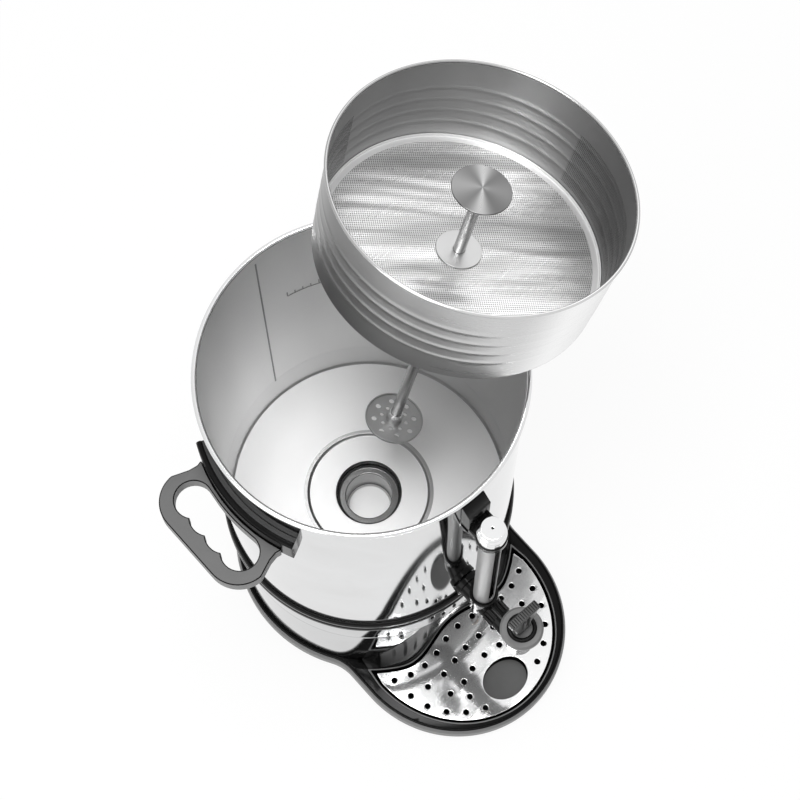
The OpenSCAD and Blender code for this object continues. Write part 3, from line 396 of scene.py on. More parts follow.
# Holes are painted near black and left mostly opaque: painted shade where the sheet is pierced.
HOLE_SHADE_COVER = 0.7
HOLE_PAINTED_SHADE = 0.03
BAND_STRETCH = 0.06
WAVE_STRETCH = 0.09
ROUND_BANDS = (9.0, 9.0, 0.5)
ROUND_SHARE = 0.35


def grey(level: float, lift: float = 0.0) -> Colour:
    """Gives a neutral colour, a little cooler with lift."""
    return (level, level + lift / 2, level + lift)


@dataclass(frozen=True)
class SteelFinish:
    """Rolled, brushed or polished steel.

    Attributes:
        name: The material's name.
        tones: Its grey where it is lightest and where its patches or painted reflections are darkest.
        rough: Roughness where it is cleanest, and how much handling adds to it.
        brushing: Depth of the brushing as a bump strength, 0 for a polish.
        lines: Brushed lines per metre across the grain.
        grain: The kind of handling patches or painted reflections.
        pitch: Patches or painted bands per metre, or how narrow the painted light side of a round wall is.
        turn: Direction of the painted bands, of the brightest painted wedge or of the painted light side, in
            degrees.
        punched: Whether the sheet is finely perforated.
        metal: Share of metal; the rest is a milky film on it.
        cool: How much cooler its lightest grey is.
        lean: How the piece that wears it leans, if it does.
    """

    name: str
    tones: Pair
    rough: Pair
    brushing: float = 0.0
    lines: float = 1800.0
    grain: Grain = Grain.PATCHES
    pitch: float = 14.0
    turn: float = 0.0
    punched: bool = False
    metal: float = 1.0
    cool: float = 0.0
    lean: Lean | None = None

    def far_from_painted_light(self, sheet: Sheet) -> Socket:
        """Gives how far a place on a round wall is from its painted light side: 0 there, 1 opposite."""
        sheen = sheet.place(painted_side_sheen(), sheet.solid, Angle=math.radians(self.turn), Tightness=self.pitch)
        return sheet.math("SUBTRACT", 1.0, sheen["Mask"])

    def streaks(self, sheet: Sheet) -> Socket:
        """Wires the handling patches, or the painted reflections and light side.

        Args:
            sheet: The material being built.

        Returns:
            The mask, 1 where the patches or the painted reflections are darkest.
        """
        pitch = self.pitch
        if self.grain is Grain.BANDS:
            run = sheet.stretched(sheet.solid, (pitch, pitch, BAND_STRETCH * pitch), self.turn)
            return sheet.place(painted_reflection_bands(), run, Contrast=2.6)["Mask"]
        if self.grain is Grain.PAINTED_WAVES:
            run = sheet.stretched(sheet.solid, (WAVE_STRETCH * pitch, pitch, pitch), self.turn)
            return sheet.place(painted_reflection_bands(), run, Contrast=3.4, Detail=4.0)["Mask"]
        if self.grain is Grain.PAINTED_WEDGES:
            sheen = sheet.place(painted_wedge_sheen(), sheet.solid, Angle=math.radians(self.turn))
            return sheet.math("SUBTRACT", 1.0, sheen["Mask"])
        if self.grain is Grain.ROUND:
            run = sheet.stretched(sheet.solid, ROUND_BANDS)
            bands = sheet.place(painted_reflection_bands(), run, Contrast=3.4)["Mask"]
            inputs = {"Factor": ROUND_SHARE, "A": self.far_from_painted_light(sheet), "B": bands}
            return sheet.node("ShaderNodeMix", inputs, data_type="FLOAT").outputs["Result"]
        return sheet.place(handling_marks(), sheet.solid, Scale=pitch)["Mask"]

    def hole_map(self, sheet: Sheet) -> Socket:
        """Wires where the holes go: a round wall is left plain on its painted light side.

        Args:
            sheet: The material being built.

        Returns:
            The holes' plan as X and Y, and as Z a level that is over 0.5 where holes show.
        """
        if self.grain is Grain.ROUND:
            plan, level = sheet.flat, self.far_from_painted_light(sheet)
        else:
            plan, level = sheet.stretched(sheet.flat, (1.0, 1.0, 1.0), self.turn), 0.9
        x, y, _ = sheet.split(plan)
        return sheet.join(x, y, level)

    def build(self) -> bpy.types.Material:
        """Builds the material.

        Returns:
            The finished material.
        """
        sheet = Sheet(self.name)
        if self.lean:
            sheet.solid = self.lean.undone(sheet)
        mask = self.streaks(sheet)
        # The colour follows the mask: handling patches, or painted reflections and a painted light side.
        colour = sheet.tint(mask, grey(self.tones[0], self.cool), grey(self.tones[1]))
        rough = sheet.spread(mask, self.rough[0], sum(self.rough))
        if self.brushing > 0:
            brush = sheet.place(brushed_lines(), sheet.flat, Lines_per_metre=self.lines)
            sheet.shade(Normal=sheet.bump(brush["Height"], self.brushing, BRUSHING_DEPTH))
            rough = sheet.math("MULTIPLY_ADD", brush["Mask"], self.rough[1], rough)
        if self.punched:
            # Each hole is painted near black and kept mostly opaque: painted shade.
            hole = sheet.place(punched_dots(), self.hole_map(sheet))["Hole"]
            sheet.shade(Alpha=sheet.spread(hole, 1.0, HOLE_SHADE_COVER))
            colour = sheet.tint(hole, colour, grey(HOLE_PAINTED_SHADE))
        return sheet.shade(Metallic=self.metal, Specular_IOR_Level=0.5, Base_Color=colour, Roughness=rough)


@dataclass(frozen=True)
class MouldedFinish:
    """Moulded plastic, rubber or silicone.

    Attributes:
        name: The material's name.
        colour: Its colour where it is cleanest.
        worn: Its colour where it is rubbed.
        rough: Roughness where it is smoothest, and how much it varies.
        grain: Depth of the moulded grain as a bump strength.
        gloss: Specular level.
        pebbles: Pebbles of the grain per metre.
    """

    name: str
    colour: Colour
    worn: Colour
    rough: Pair
    grain: float = 0.1
    gloss: float = 0.5
    pebbles: float = 900.0

    def build(self) -> bpy.types.Material:
        """Builds the material.

        Returns:
            The finished material.
        """
        sheet = Sheet(self.name)
        marks = sheet.place(handling_marks(), sheet.solid, Scale=22.0)["Mask"]
        pebbles = sheet.place(moulded_grain(), sheet.solid, Scale=self.pebbles)["Height"]
        colour = sheet.tint(marks, self.colour, self.worn)
        rough = sheet.spread(marks, self.rough[0], sum(self.rough))
        normal = sheet.bump(pebbles, self.grain, PEBBLE_DEPTH)
        sheet.shade(Metallic=0.0, IOR=1.5, Specular_IOR_Level=self.gloss)
        return sheet.shade(Base_Color=colour, Roughness=rough, Normal=normal)


@dataclass(frozen=True)
class GlassFinish:
    """Clear glass or a tinted lens.

    Attributes:
        name: The material's name.
        colour: Its tint.
        rough: Roughness where it is cleanest, and how much handling adds to it.
    """

    name: str
    colour: Colour
    rough: Pair

    def build(self) -> bpy.types.Material:
        """Builds the material.

        Returns:
            The finished material.
        """
        sheet = Sheet(self.name)
        marks = sheet.place(handling_marks(), sheet.solid, Scale=60.0)["Mask"]
        colour = sheet.tint(marks, self.colour, tuple(0.9 * part for part in self.colour))
        rough = sheet.spread(marks, self.rough[0], sum(self.rough))
        sheet.shade(Metallic=0.0, Transmission_Weight=1.0, IOR=1.47)
        return sheet.shade(Base_Color=colour, Roughness=rough)


def leaning(name: str, tones: Pair, rough: Pair, *sizes: object, **more: object) -> SteelFinish:
    """Gives a steel finish for the leaning filter."""
    return SteelFinish(name, tones, rough, *sizes, lean=FILTER_LEAN, **more)


class Finish(Enum):
    """Every finish on the urn, each with its recipe."""

    MIRROR_SKIN = SteelFinish("MirrorSkin", (0.7, 0.62), (0.04, 0.02), cool=0.01)
    SKIRT_SKIN = SteelFinish("SkirtSkin", (0.52, 0.42), (0.05, 0.02), cool=0.01)
    # The rolled rim is the wall's steel painted lighter: a painted highlight.
    PAINTED_RIM_HIGHLIGHT = SteelFinish("PaintedRimHighlight", (0.8, 0.7), (0.12, 0.05), cool=0.01)
    # Inside the wall one side is painted lighter over the brushing: a painted light side.
    BRUSHED_INSIDE = SteelFinish(
        "BrushedInside", (0.9, 0.36), (0.34, 0.1), 0.2, 2600.0, Grain.ROUND, 1.0, 105.0
    )
    WELD = SteelFinish("WeldSeam", (0.34, 0.24), (0.35, 0.1), 0.2, 1400.0)
    SATIN_PRESSED = SteelFinish("SatinPressed", (0.98, 0.94), (0.45, 0.06), 0.1, 1600.0, metal=0.4)
    # The floor's step faces are its own sheet painted darker: painted shade.
    STEP_PAINTED_SHADE = SteelFinish("StepPaintedShade", (0.5, 0.4), (0.24, 0.06), 0.1, 1600.0)
    # The well is the floor's own sheet painted much darker: painted shade in the recess.
    WELL_PAINTED_SHADE = SteelFinish("WellPaintedShade", (0.24, 0.15), (0.2, 0.08), 0.12, 1600.0)
    MIRROR_PLATE = SteelFinish("MirrorPlate", (0.92, 0.88), (0.06, 0.03), metal=0.82, cool=0.01)
    BRIGHT_CHROME = SteelFinish("BrightChrome", (0.86, 0.8), (0.06, 0.03), cool=0.01)
    # From here to the turned disc the greys carry painted light: reflection bands, waves, highlight wedges
    # and lit sides.
    GUARD_CHROME = SteelFinish(
        "GuardChrome", (0.34, 0.24), (0.46, 0.06), grain=Grain.BANDS, pitch=60.0, metal=0.7
    )
    STEM_CHROME = leaning(
        "StemChrome", (0.82, 0.26), (0.16, 0.06), grain=Grain.BANDS, pitch=250.0, metal=0.75
    )
    BASKET_RIM = leaning("BasketRim", (0.66, 0.36), (0.14, 0.05), grain=Grain.ROUND, pitch=2.0, turn=-120.0)
    BASKET_OUTSIDE = leaning(
        "BasketOutside", (0.98, 0.16), (0.22, 0.08), 0.2, 1500.0, Grain.ROUND, 3.0, -82.0
    )
    BASKET_SHEET = leaning("BasketSheet", (0.5, 0.14), (0.36, 0.08), 0.2, 1500.0, Grain.ROUND, 3.5, 42.0)
    BASKET_PUNCHED = leaning(
        "BasketPunched", (0.5, 0.14), (0.36, 0.08), 0.2, 1500.0, Grain.ROUND, 3.5, 42.0, True
    )
    FLOOR_BORDER = leaning("FloorBorder", (0.95, 0.75), (0.3, 0.06), 0.1, 1500.0, Grain.BANDS, 9.0, metal=0.6)
    FLOOR_PUNCHED = leaning(
        "FloorPunched", (0.98, 0.5), (0.2, 0.1), 0.1, 1500.0, Grain.PAINTED_WAVES, 60.0, 41.7, True, metal=0.55
    )
    TURNED_DISC = leaning("TurnedDisc", (0.36, 0.14), (0.26, 0.06), 0.15, 2400.0, Grain.PAINTED_WEDGES, turn=-147.0)
    HUB_STEEL = SteelFinish("HubSteel", (0.5, 0.44), (0.36, 0.06))
    FOOT_STEEL = SteelFinish("FootSteel", (0.52, 0.44), (0.36, 0.08), 0.2)
    PLAIN_STEEL = SteelFinish("PlainSteel", (0.56, 0.5), (0.32, 0.1))
    HEATER_SHEATH = SteelFinish("HeaterSheath", (0.36, 0.28), (0.5, 0.15))
    GLOSS_BLACK = MouldedFinish("GlossBlack", grey(0.003), grey(0.006), (0.12, 0.06), 0.02, 0.1)
    # The next three are lighter copies of the black moulding, given to faces and lines that catch the light:
    # painted light. The darkest of them is also the plain colour of the switch housing and cord gland.
    PAINTED_LIT_BLACK = MouldedFinish("PaintedLitBlack", grey(0.13), grey(0.17), (0.36, 0.1), 0.08, 0.4)
    PAINTED_LIT_FACE = MouldedFinish("PaintedLitFace", grey(0.05), grey(0.08), (0.3, 0.1), 0.1, 0.5)
    STRIPE_BLACK = MouldedFinish("StripeBlack", grey(0.03), grey(0.045), (0.34, 0.1), 0.08, 0.3)
    SATIN_BLACK = MouldedFinish("SatinBlack", grey(0.1), grey(0.13), (0.42, 0.1), 0.2, 0.3)
    FOOT_RUBBER = MouldedFinish("FootRubber", grey(0.02), grey(0.04), (0.7, 0.15), 0.4, pebbles=600.0)
    SILICONE = MouldedFinish("Silicone", (0.62, 0.61, 0.58), (0.55, 0.54, 0.5), (0.42, 0.12), 0.15)
    PHENOLIC = MouldedFinish("Phenolic", (0.07, 0.035, 0.02), (0.12, 0.06, 0.035), (0.35, 0.15), 0.2)
    TERMINAL_WHITE = MouldedFinish("TerminalWhite", (0.72, 0.7, 0.64), (0.62, 0.6, 0.54), (0.4, 0.12), 0.15)
    WIRE_SLEEVE = MouldedFinish(
        "WireSleeve", (0.42, 0.41, 0.38), (0.3, 0.29, 0.27), (0.7, 0.15), 0.6, pebbles=1600.0
    )
    ROCKER_GLOSS = MouldedFinish("RockerGloss", grey(0.012), grey(0.02), (0.18, 0.08), 0.03, 0.35)
    LAMP_AMBER = GlassFinish("LampAmber", (0.85, 0.36, 0.06), (0.08, 0.06))
    CLEAR_GLASS = GlassFinish("ClearGlass", (0.95, 0.98, 0.98), (0.02, 0.06))


@cache
def material(finish: Finish) -> bpy.types.Material:
    """Gives a finish's material, building it the first time."""
    return finish.value.build()


# ---------------------------------------------------------------------------
# Outlines and places
# ---------------------------------------------------------------------------


def arc(
    radius: float, start: float, end: float, sides: int, centre: Point = (0.0, 0.0), tall: float | None = None
) -> list[Point]:
    """Gives the points of an arc, both ends included.

    Args:
        radius: Its radius.
        start: The angle where it starts, in radians.
        end: The angle where it ends.
        sides: Number of its sides.
        centre: Its centre.
        tall: Its radius along the second axis, where it is part of an ellipse.

    Returns:
        The points.
    """
    rise = radius if tall is None else tall
    turns = (start + (end - start) * i / sides for i in range(sides + 1))
    return [(centre[0] + radius * math.cos(t), centre[1] + rise * math.sin(t)) for t in turns]


def circle(
    radius: float, centre: Point = (0.0, 0.0), sides: int = 32, tall: float | None = None
) -> list[Point]:
    """Gives a counterclockwise circle, or an ellipse whose half height is tall."""
    return arc(radius, 0.0, math.tau, sides, centre, tall)[:-1]


def box(left: float, right: float, low: float, high: float) -> list[Point]:
    """Gives a counterclockwise rectangle."""
    return [(left, low), (right, low), (right, high), (left, high)]


def mirrored(half: list[Point], end: float) -> list[Point]:
    """Closes a half outline, whose first point lies on the first axis, through (end, 0)."""
    return half + [(end, 0.0)] + [(x, -y) for x, y in reversed(half[1:])]


def soften(
    profile: Sequence[Point], radius: float, closed: bool = True, steps: int = 4, least: float = 0.2
) -> list[Point]:
    """Rounds the corners of a run of points, but for those on the axis of a turned profile.

    Args:
        profile: The points.
        radius: Radius of the rounding.
        closed: Whether the last point joins the first.
        steps: Sides of each rounding.
        least: The least turn, in radians, that is rounded.

    Returns:
        The rounded run.
    """
    run = [Vector(p) for p in profile]
    count = len(run)
    smooth: list[Point] = []
    for i, corner in enumerate(run):
        back, ahead = run[i - 1] - corner, run[(i + 1) % count] - corner
        ends = not closed and i in (0, count - 1)
        turn = math.pi - back.angle(ahead, math.pi)
        if ends or abs(corner.x) < TINY or turn < least:
            smooth.append((corner.x, corner.y))
            continue
        reach = min(radius * math.tan(turn / 2), 0.45 * back.length, 0.45 * ahead.length)
        start, end = corner + reach * back.normalized(), corner + reach * ahead.normalized()
        for k in range(steps + 1):
            t = k / steps
            q = start.lerp(corner, t).lerp(corner.lerp(end, t), t)
            smooth.append((q.x, q.y))
    return smooth


def inset(loop: Sequence[Point], depth: float) -> list[Point]:
    """Moves the sides of a counterclockwise loop inwards.

    Args:
        loop: The loop.
        depth: How far they move.

    Returns:
        The smaller loop, with as many points.
    """
    moved: list[Point] = []
    for i, point in enumerate(loop):
        p = Vector(point)
        before = (p - Vector(loop[i - 1])).normalized()
        after = (Vector(loop[(i + 1) % len(loop)]) - p).normalized()
        a, b = Vector((-before.y, before.x)), Vector((-after.y, after.x))
        q = p + (a + b) * (depth / max(0.6, 1.0 + a.dot(b)))
        moved.append((q.x, q.y))
    return moved


def lifted(loop: Sequence[Point], height: float) -> list[Vector]:
    """Gives a flat loop its height."""
    return [Vector((x, y, height)) for x, y in loop]


FLAT = Matrix.Identity(4)


def turned(degrees: float) -> Matrix:
    """Turns a form about the Z axis."""
    return Matrix.Rotation(math.radians(degrees), 4, "Z")


def along_y(y: float, z: float) -> Matrix:
    """Places a form so that its axis runs towards -Y from the point (0, y, z)."""
    return Matrix.Translation((0.0, y, z)) @ Matrix.Rotation(math.radians(90), 4, "X")


def in_front(y: float) -> Matrix:
    """Places a form upright at the distance y in front of the axis."""
    return Matrix.Translation((0.0, -y, 0.0))


# ---------------------------------------------------------------------------
# Shapes and pieces
# ---------------------------------------------------------------------------


class Shape:
    """The faces of a piece, gathered in millimetres before Blender makes the mesh."""

    def __init__(self, level: bool = False, planar: bool = False) -> None:
        """Starts an empty shape.

        Args:
            level: Whether turned faces take the UV map's second axis from their height.
            planar: Whether turned faces take the UV map from their plan.
        """
        self.level = level
        self.planar = planar
        self.points: list[Vector] = []
        self.faces: list[tuple[int, ...]] = []
        self.uvs: list[tuple[Point, ...]] = []
        self.slots: list[int] = []

    def face(self, corners: Sequence[int], uv: Sequence[Point], slot: int) -> None:
        """Adds a face.

        Args:
            corners: Numbers of its points.
            uv: Its corners on the UV map, in millimetres.
            slot: Its material slot.
        """
        self.faces.append(tuple(corners))
        self.uvs.append(tuple((u * MM, v * MM) for u, v in uv))
        self.slots.append(slot)

    def turn(
        self,
        profile: Sequence[Point],
        steps: int = 192,
        start: float = 0.0,
        sweep: float = 360.0,
        slots: Sequence[int] | int = 0,
        place: Matrix = FLAT,
    ) -> "Shape":
        """Turns a closed profile of (radius, height) points about an axis.

        Args:
            profile: The profile's points.
            steps: Sides round the axis.
            start: Angle at which the turn starts, in degrees.
            sweep: Angle that it covers.
            slots: Material slot of each side of the profile, or of them all.
            place: Moves the turned form into place.

        Returns:
            This shape.
        """
        whole = sweep > 359.9
        count = steps if whole else steps + 1
        base, sides = len(self.points), len(profile)
        angles = [math.radians(start + sweep * i / steps) for i in range(steps + 1)]
        for radius, height in profile:
            for a in angles[:count]:
                self.points.append(place @ Vector((radius * math.cos(a), radius * math.sin(a), height)))
        reach, run = max(r for r, _ in profile), 0.0
        for k in range(sides):
            (r0, z0), (r1, z1) = profile[k], profile[(k + 1) % sides]
            after = run + math.hypot(r1 - r0, z1 - z0)
            low, high = base + k * count, base + (k + 1) % sides * count
            slot = slots if isinstance(slots, int) else slots[k % len(slots)]
            for i in range(steps):
                if max(r0, r1) < TINY:
                    continue
                j = (i + 1) % count
                u0, u1 = angles[i] * reach, angles[i + 1] * reach
                quad = [(low + i, (u0, run)), (low + j, (u1, run))]
                quad += [(high + j, (u1, after)), (high + i, (u0, after))]
                if r0 < TINY:
                    quad.pop(0)
                elif r1 < TINY:
                    quad.pop()
                numbers, uv = [q[0] for q in quad], [q[1] for q in quad]
                if self.level:
                    uv = [(u, self.points[n].z) for n, (u, _) in zip(numbers, uv)]
                if self.planar:
                    uv = [(self.points[n].x, self.points[n].y) for n in numbers]
                self.face(numbers, uv, slot)
            run = after
        if not whole:
            for end in (0, steps):
                self.cap([[base + k * count + end for k in range(sides)]], 0, profile)
        return self

    def cap(self, loops: Sequence[Sequence[int]], slot: int, flat: Sequence[Point] | None = None) -> None:
        """Closes loops of points, the first of which is the outer one, with a flat face.

        Args:
            loops: Point numbers of each loop.
            slot: The material slot.
            flat: Plane coordinates of the points, when they don't lie level.
        """
        order = [i for loop in loops for i in loop]
        if flat is None:
            flat = [(self.points[i].x, self.points[i].y) for i in order]
        plane = [Vector((*p, 0.0)) for p in flat]
        spans, first = [], 0
        for loop in loops:
            spans.append(plane[first : first + len(loop)])
            first += len(loop)
        for triangle in tessellate_polygon(spans):
            self.face([order[k] for k in triangle], [(plane[k].x, plane[k].y) for k in triangle], slot)

    def loft(self, rings: Sequence[Sequence[Vector]], slots: Sequence[int] | int = 0) -> list[list[int]]:
        """Joins closed rings of as many points each.

        Args:
            rings: The rings, one after another.
            slots: Material slot of each band between rings, or of them all.

        Returns:
            The point numbers of each ring.
        """
        numbers = []
        for ring in rings:
            numbers.append(list(range(len(self.points), len(self.points) + len(ring))))
            self.points.extend(Vector(p) for p in ring)
        count, rise = len(rings[0]), 0.0
        for k in range(len(rings) - 1):
            slot = slots if isinstance(slots, int) else slots[k % len(slots)]
            after, run = rise + (rings[k + 1][0] - rings[k][0]).length, 0.0
            for i in range(count):
                j = (i + 1) % count
                far = run + (rings[k][j] - rings[k][i]).length
                corners = (numbers[k][i], numbers[k][j], numbers[k + 1][j], numbers[k + 1][i])
                self.face(corners, ((run, rise), (far, rise), (far, after), (run, after)), slot)
                run = far
            rise = after
        return numbers

    def closed_loft(
        self,
        rings: Sequence[Sequence[Vector]],
        slots: Sequence[int] | int = 0,
        flat: Sequence[Point] | None = None,
    ) -> "Shape":
        """Joins rings and closes both ends.

        Args:
            rings: The rings, one after another.
            slots: Material slot of each band between rings, or of them all.
            flat: Plane coordinates of an end's points, when they don't lie level.

        Returns:
            This shape.
        """
        numbers = self.loft(rings, slots)
        for end in (numbers[0], numbers[-1]):
            self.cap([end], 0, flat)
        return self

    def slab(
        self,
        outline: Sequence[Point],
        low: float,
        high: float,
        holes: Sequence[Sequence[Point]] = (),
        edge: float = 0.6,
        steps: int = 3,
        place: Matrix = FLAT,
        slots: tuple[int, int, int] = (0, 0, 0),
    ) -> "Shape":
        """Adds a plate with rounded edges.

        Args:
            outline: Its counterclockwise outline.
            low: Height of its underside.
            high: Height of its top.
            holes: Counterclockwise loops cut through it.
            edge: Radius of its edges.
            steps: Sides of each edge's rounding.
            place: Moves it into place.
            slots: Material slots of its faces, of its rounded edges and of its sides.

        Returns:
            This shape.
        """
        face, bend, side = slots
        bands = [bend] * steps + [side] + [bend] * steps
        turns = [0.5 * math.pi * k / steps for k in range(steps + 1)]
        rise = [(edge * (1 - math.sin(a)), low + edge * (1 - math.cos(a))) for a in turns]
        rise += [(edge * (1 - math.cos(a)), high - edge * (1 - math.sin(a))) for a in turns]
        bottoms, tops, flat = [], [], []
        for k, loop in enumerate([outline, *holes]):
            way = 1 if k == 0 else -1
            rings = [[place @ p for p in lifted(inset(loop, way * depth), z)] for depth, z in rise]
            made = self.loft(rings, bands)
            bottoms.append(made[0])
            tops.append(made[-1])
            flat += inset(loop, way * edge)
        self.cap(bottoms, face, flat)
        self.cap(tops, face, flat)
        return self

    def mesh(self, name: str) -> bpy.types.Mesh:
        """Makes Blender's mesh, in metres.

        Args:
            name: Its name.

        Returns:
            The mesh, welded, with its faces turned outwards.
        """
        made = bpy.data.meshes.new(name)
        made.from_pydata([p * MM for p in self.points], [], self.faces)
        layer = made.uv_layers.new(name="UVMap")
        layer.data.foreach_set("uv", [c for face in self.uvs for uv in face for c in uv])
        made.polygons.foreach_set("material_index", self.slots)
        work = bmesh.new()
        work.from_mesh(made)
        bmesh.ops.remove_doubles(work, verts=work.verts, dist=2 * TINY)
        bmesh.ops.recalc_face_normals(work, faces=work.faces)
        work.to_mesh(made)
        work.free()
        made.shade_smooth()
        return made


@dataclass
class Piece:
    """One visible piece.

    Attributes:
        name: Its name.
        shape: Its faces.
        finishes: Its finishes, in the order of its material slots.
        nodes: The CAD nodes that it stands for.
        slot: The record's material slot; not used.
        body: The CAD body that it rides on.
        place: Moves its mesh into place, in metres.
        cuts: Shapes cut out of it.
        sharp: Least angle, in degrees, of an edge that a cut leaves sharp.
    """

    name: str
    shape: Shape
    finishes: Sequence[Finish]
    nodes: Sequence[str]
    slot: str
    body: str = "urn"
    place: Matrix = field(default_factory=lambda: FLAT)
    cuts: Sequence[Shape] = ()
    sharp: float = 40.0

    def build(self) -> bpy.types.Object:
        """Makes the piece.

        Returns:
            Its object.
        """
        made = bpy.data.objects.new(self.name, self.shape.mesh(self.name))
        bpy.context.scene.collection.objects.link(made)
        for finish in self.finishes:
            made.data.materials.append(material(finish))
        for cut in self.cuts:
            self.carve(made, cut)
        made.data.transform(self.place)
        even = made.modifiers.new("Even", "WEIGHTED_NORMAL")
        even.keep_sharp = True
        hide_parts(*self.nodes)
        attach(made, self.body)
        stands_for = ", ".join(self.nodes) or "no node"
        LOG.info("%s built, %d faces, for %s", self.name, len(made.data.polygons), stands_for)
        return made

    def carve(self, made: bpy.types.Object, cut: Shape) -> None:
        """Cuts a shape out of the piece.

        Args:
            made: The piece's object.
            cut: The shape to cut out.
        """
        tool = bpy.data.objects.new("Cut", cut.mesh("Cut"))
        tool.data.materials.append(material(self.finishes[0]))
        bpy.context.scene.collection.objects.link(tool)
        step = made.modifiers.new("Cut", "BOOLEAN")
        step.operation = "DIFFERENCE"
        step.solver = "EXACT"
        step.object = tool
        seen = bpy.context.evaluated_depsgraph_get()
        shown = made.evaluated_get(seen)
        result = bpy.data.meshes.new_from_object(shown, preserve_all_data_layers=True, depsgraph=seen)
        made.modifiers.remove(step)
        made.data = result
        bpy.data.objects.remove(tool)
        made.data.set_sharp_from_angle(angle=math.radians(self.sharp))


# ---------------------------------------------------------------------------
# Vessel
# ---------------------------------------------------------------------------


@dataclass
class Vessel:
    """The drinks vessel: its wall, pressed floor, weld seam and level marks.

    Attributes:
        radius: Outside of the wall.
        wall: Thickness of the sheet.
        foot: Height of the wall's lower edge.
        rim: Height of the rim.
        bead: Radius of the rolled rim.
        seam_at: Angle of the weld seam, in degrees.
        seam: Half width of the seam, and how far it stays from the wall's edges.
        marks_z: Height of the level marks.
        marks: Angles of the first and last level mark.
        step: Angle between level marks.
        mark: Half width of a mark, and the height of a short and of a long one.
        sunk: How deep seam and marks reach into the sheet.
    """

    radius: float = 121.5
    wall: float = 0.8
    foot: float = 160.0
    rim: float = 467.5
    bead: float = 2.1
    seam_at: float = 90.0
    seam: Pair = (0.7, 12.0)
    marks_z: float = 354.0
    marks: Pair = (40.0, 79.0)
    step: float = 3.25
    mark: Triple = (0.45, 4.0, 7.0)
    sunk: float = 0.1

    def build(self) -> None:
        """Makes the vessel."""
        self.make_wall()
        self.make_floor()
        self.make_seam()
        self.make_marks()

    def make_wall(self) -> None:
        """Makes the polished wall, brushed inside, with its rolled rim."""
        inside = self.radius - self.wall
        roll = arc(self.bead, math.radians(-128), math.pi, 18, (inside + self.bead, self.rim - self.bead))
        rows, (outside, bright, brushed) = 6, range(3)
        side = [(self.radius, self.foot + (roll[0][1] - self.foot) * i / rows) for i in range(rows)]
        inner = [(inside, roll[-1][1] - (roll[-1][1] - self.foot) * i / rows) for i in range(1, rows + 1)]
        # The rolled rim takes the lighter steel, a painted highlight; the inside takes a painted light side.
        slots = [outside] * rows + [bright] * (len(roll) - 1) + [brushed] * rows + [outside]
        shape = Shape().turn(side + roll + inner, 224, self.seam_at, slots=slots)
        finishes = (Finish.MIRROR_SKIN, Finish.PAINTED_RIM_HIGHLIGHT, Finish.BRUSHED_INSIDE)
        Piece("vessel_skin", shape, finishes, ["vessel_wall"], "polished_steel").build()

    def make_floor(self) -> None:
        """Makes the pressed floor with its embossed ring and stepped well."""
        top = [
            (0, 105.5), (18, 105.5), (20, 107.5), (20, 139.5), (25.2, 139.5), (27.2, 141.5), (27.2, 148.6),
            (28.7, 150.1), (31, 150.1), (49, 150.1), (51, 150.1), (53, 151.5), (56, 151.5), (114, 151.5),
            (117.4, 151.5), (118.4, 152.4), (120.62, 186),
        ]
        underside = [
            (120.68, 186), (120.68, 161.6), (118.9, 159.4), (118.9, 153.7), (115.9, 150.7), (53.4, 150.7),
            (51.4, 149.3), (28.6, 149.3), (28, 148.3), (28, 141.1), (25.6, 138.7), (20.8, 138.7),
            (20.8, 107.1), (18.4, 104.7), (0, 104.7),
        ]
        profile = soften(top + underside, 0.9)
        # The well and the faces of the steps take darker copies of the floor's steel: painted shade.
        slots, (pressed, well, edge, flange) = [], range(4)
        for r, z in profile:
            if 18.5 < r < 27.6 and z < 149.5:
                slots.append(well)
            elif 50 < r < 53.6 or 117.3 < r < 118.3 and z < 152:
                slots.append(edge)
            else:
                slots.append(flange if r > 118 else pressed)
        shape = Shape().turn(profile, 160, slots=slots)
        finishes = (Finish.SATIN_PRESSED, Finish.WELL_PAINTED_SHADE, Finish.STEP_PAINTED_SHADE, Finish.BRUSHED_INSIDE)
        Piece("vessel_pan", shape, finishes, ["vessel_floor"], "satin_steel").build()

    def strip(self, proud: float, half: float) -> list[Point]:
        """Gives the section of a strip that stands proud of the wall's inside."""
        face = self.radius - self.wall
        return box(face - proud, face + self.sunk, -half, half)

    def make_seam(self) -> None:
        """Makes the ground weld seam inside the wall."""
        half, end = self.seam
        section, place = self.strip(0.22, half), turned(self.seam_at)
        seam = Shape().slab(section, self.foot + end, self.rim - end, edge=0.1, steps=1, place=place)
        Piece("weld_seam", seam, (Finish.WELD,), [], "satin_steel").build()

    def make_marks(self) -> None:
        """Makes a row of plain level marks inside the wall, every fourth one long, over a line."""
        row, (first, last), (half, short, long) = Shape(), self.marks, self.mark
        for i in range(int((last - first) / self.step) + 1):
            top = self.marks_z + (long if i % 4 == 0 else short)
            place = turned(first + i * self.step)
            row.slab(self.strip(0.3, half), self.marks_z, top, edge=0.12, steps=1, place=place)
        face = self.radius - self.wall
        line = box(face - 0.3, face + self.sunk, self.marks_z - 1.6, self.marks_z - 0.8)
        row.turn(line, 32, first, last - first)
        Piece("level_marks", row, (Finish.WELD,), [], "satin_steel").build()


# ---------------------------------------------------------------------------
# Housing and base
# ---------------------------------------------------------------------------


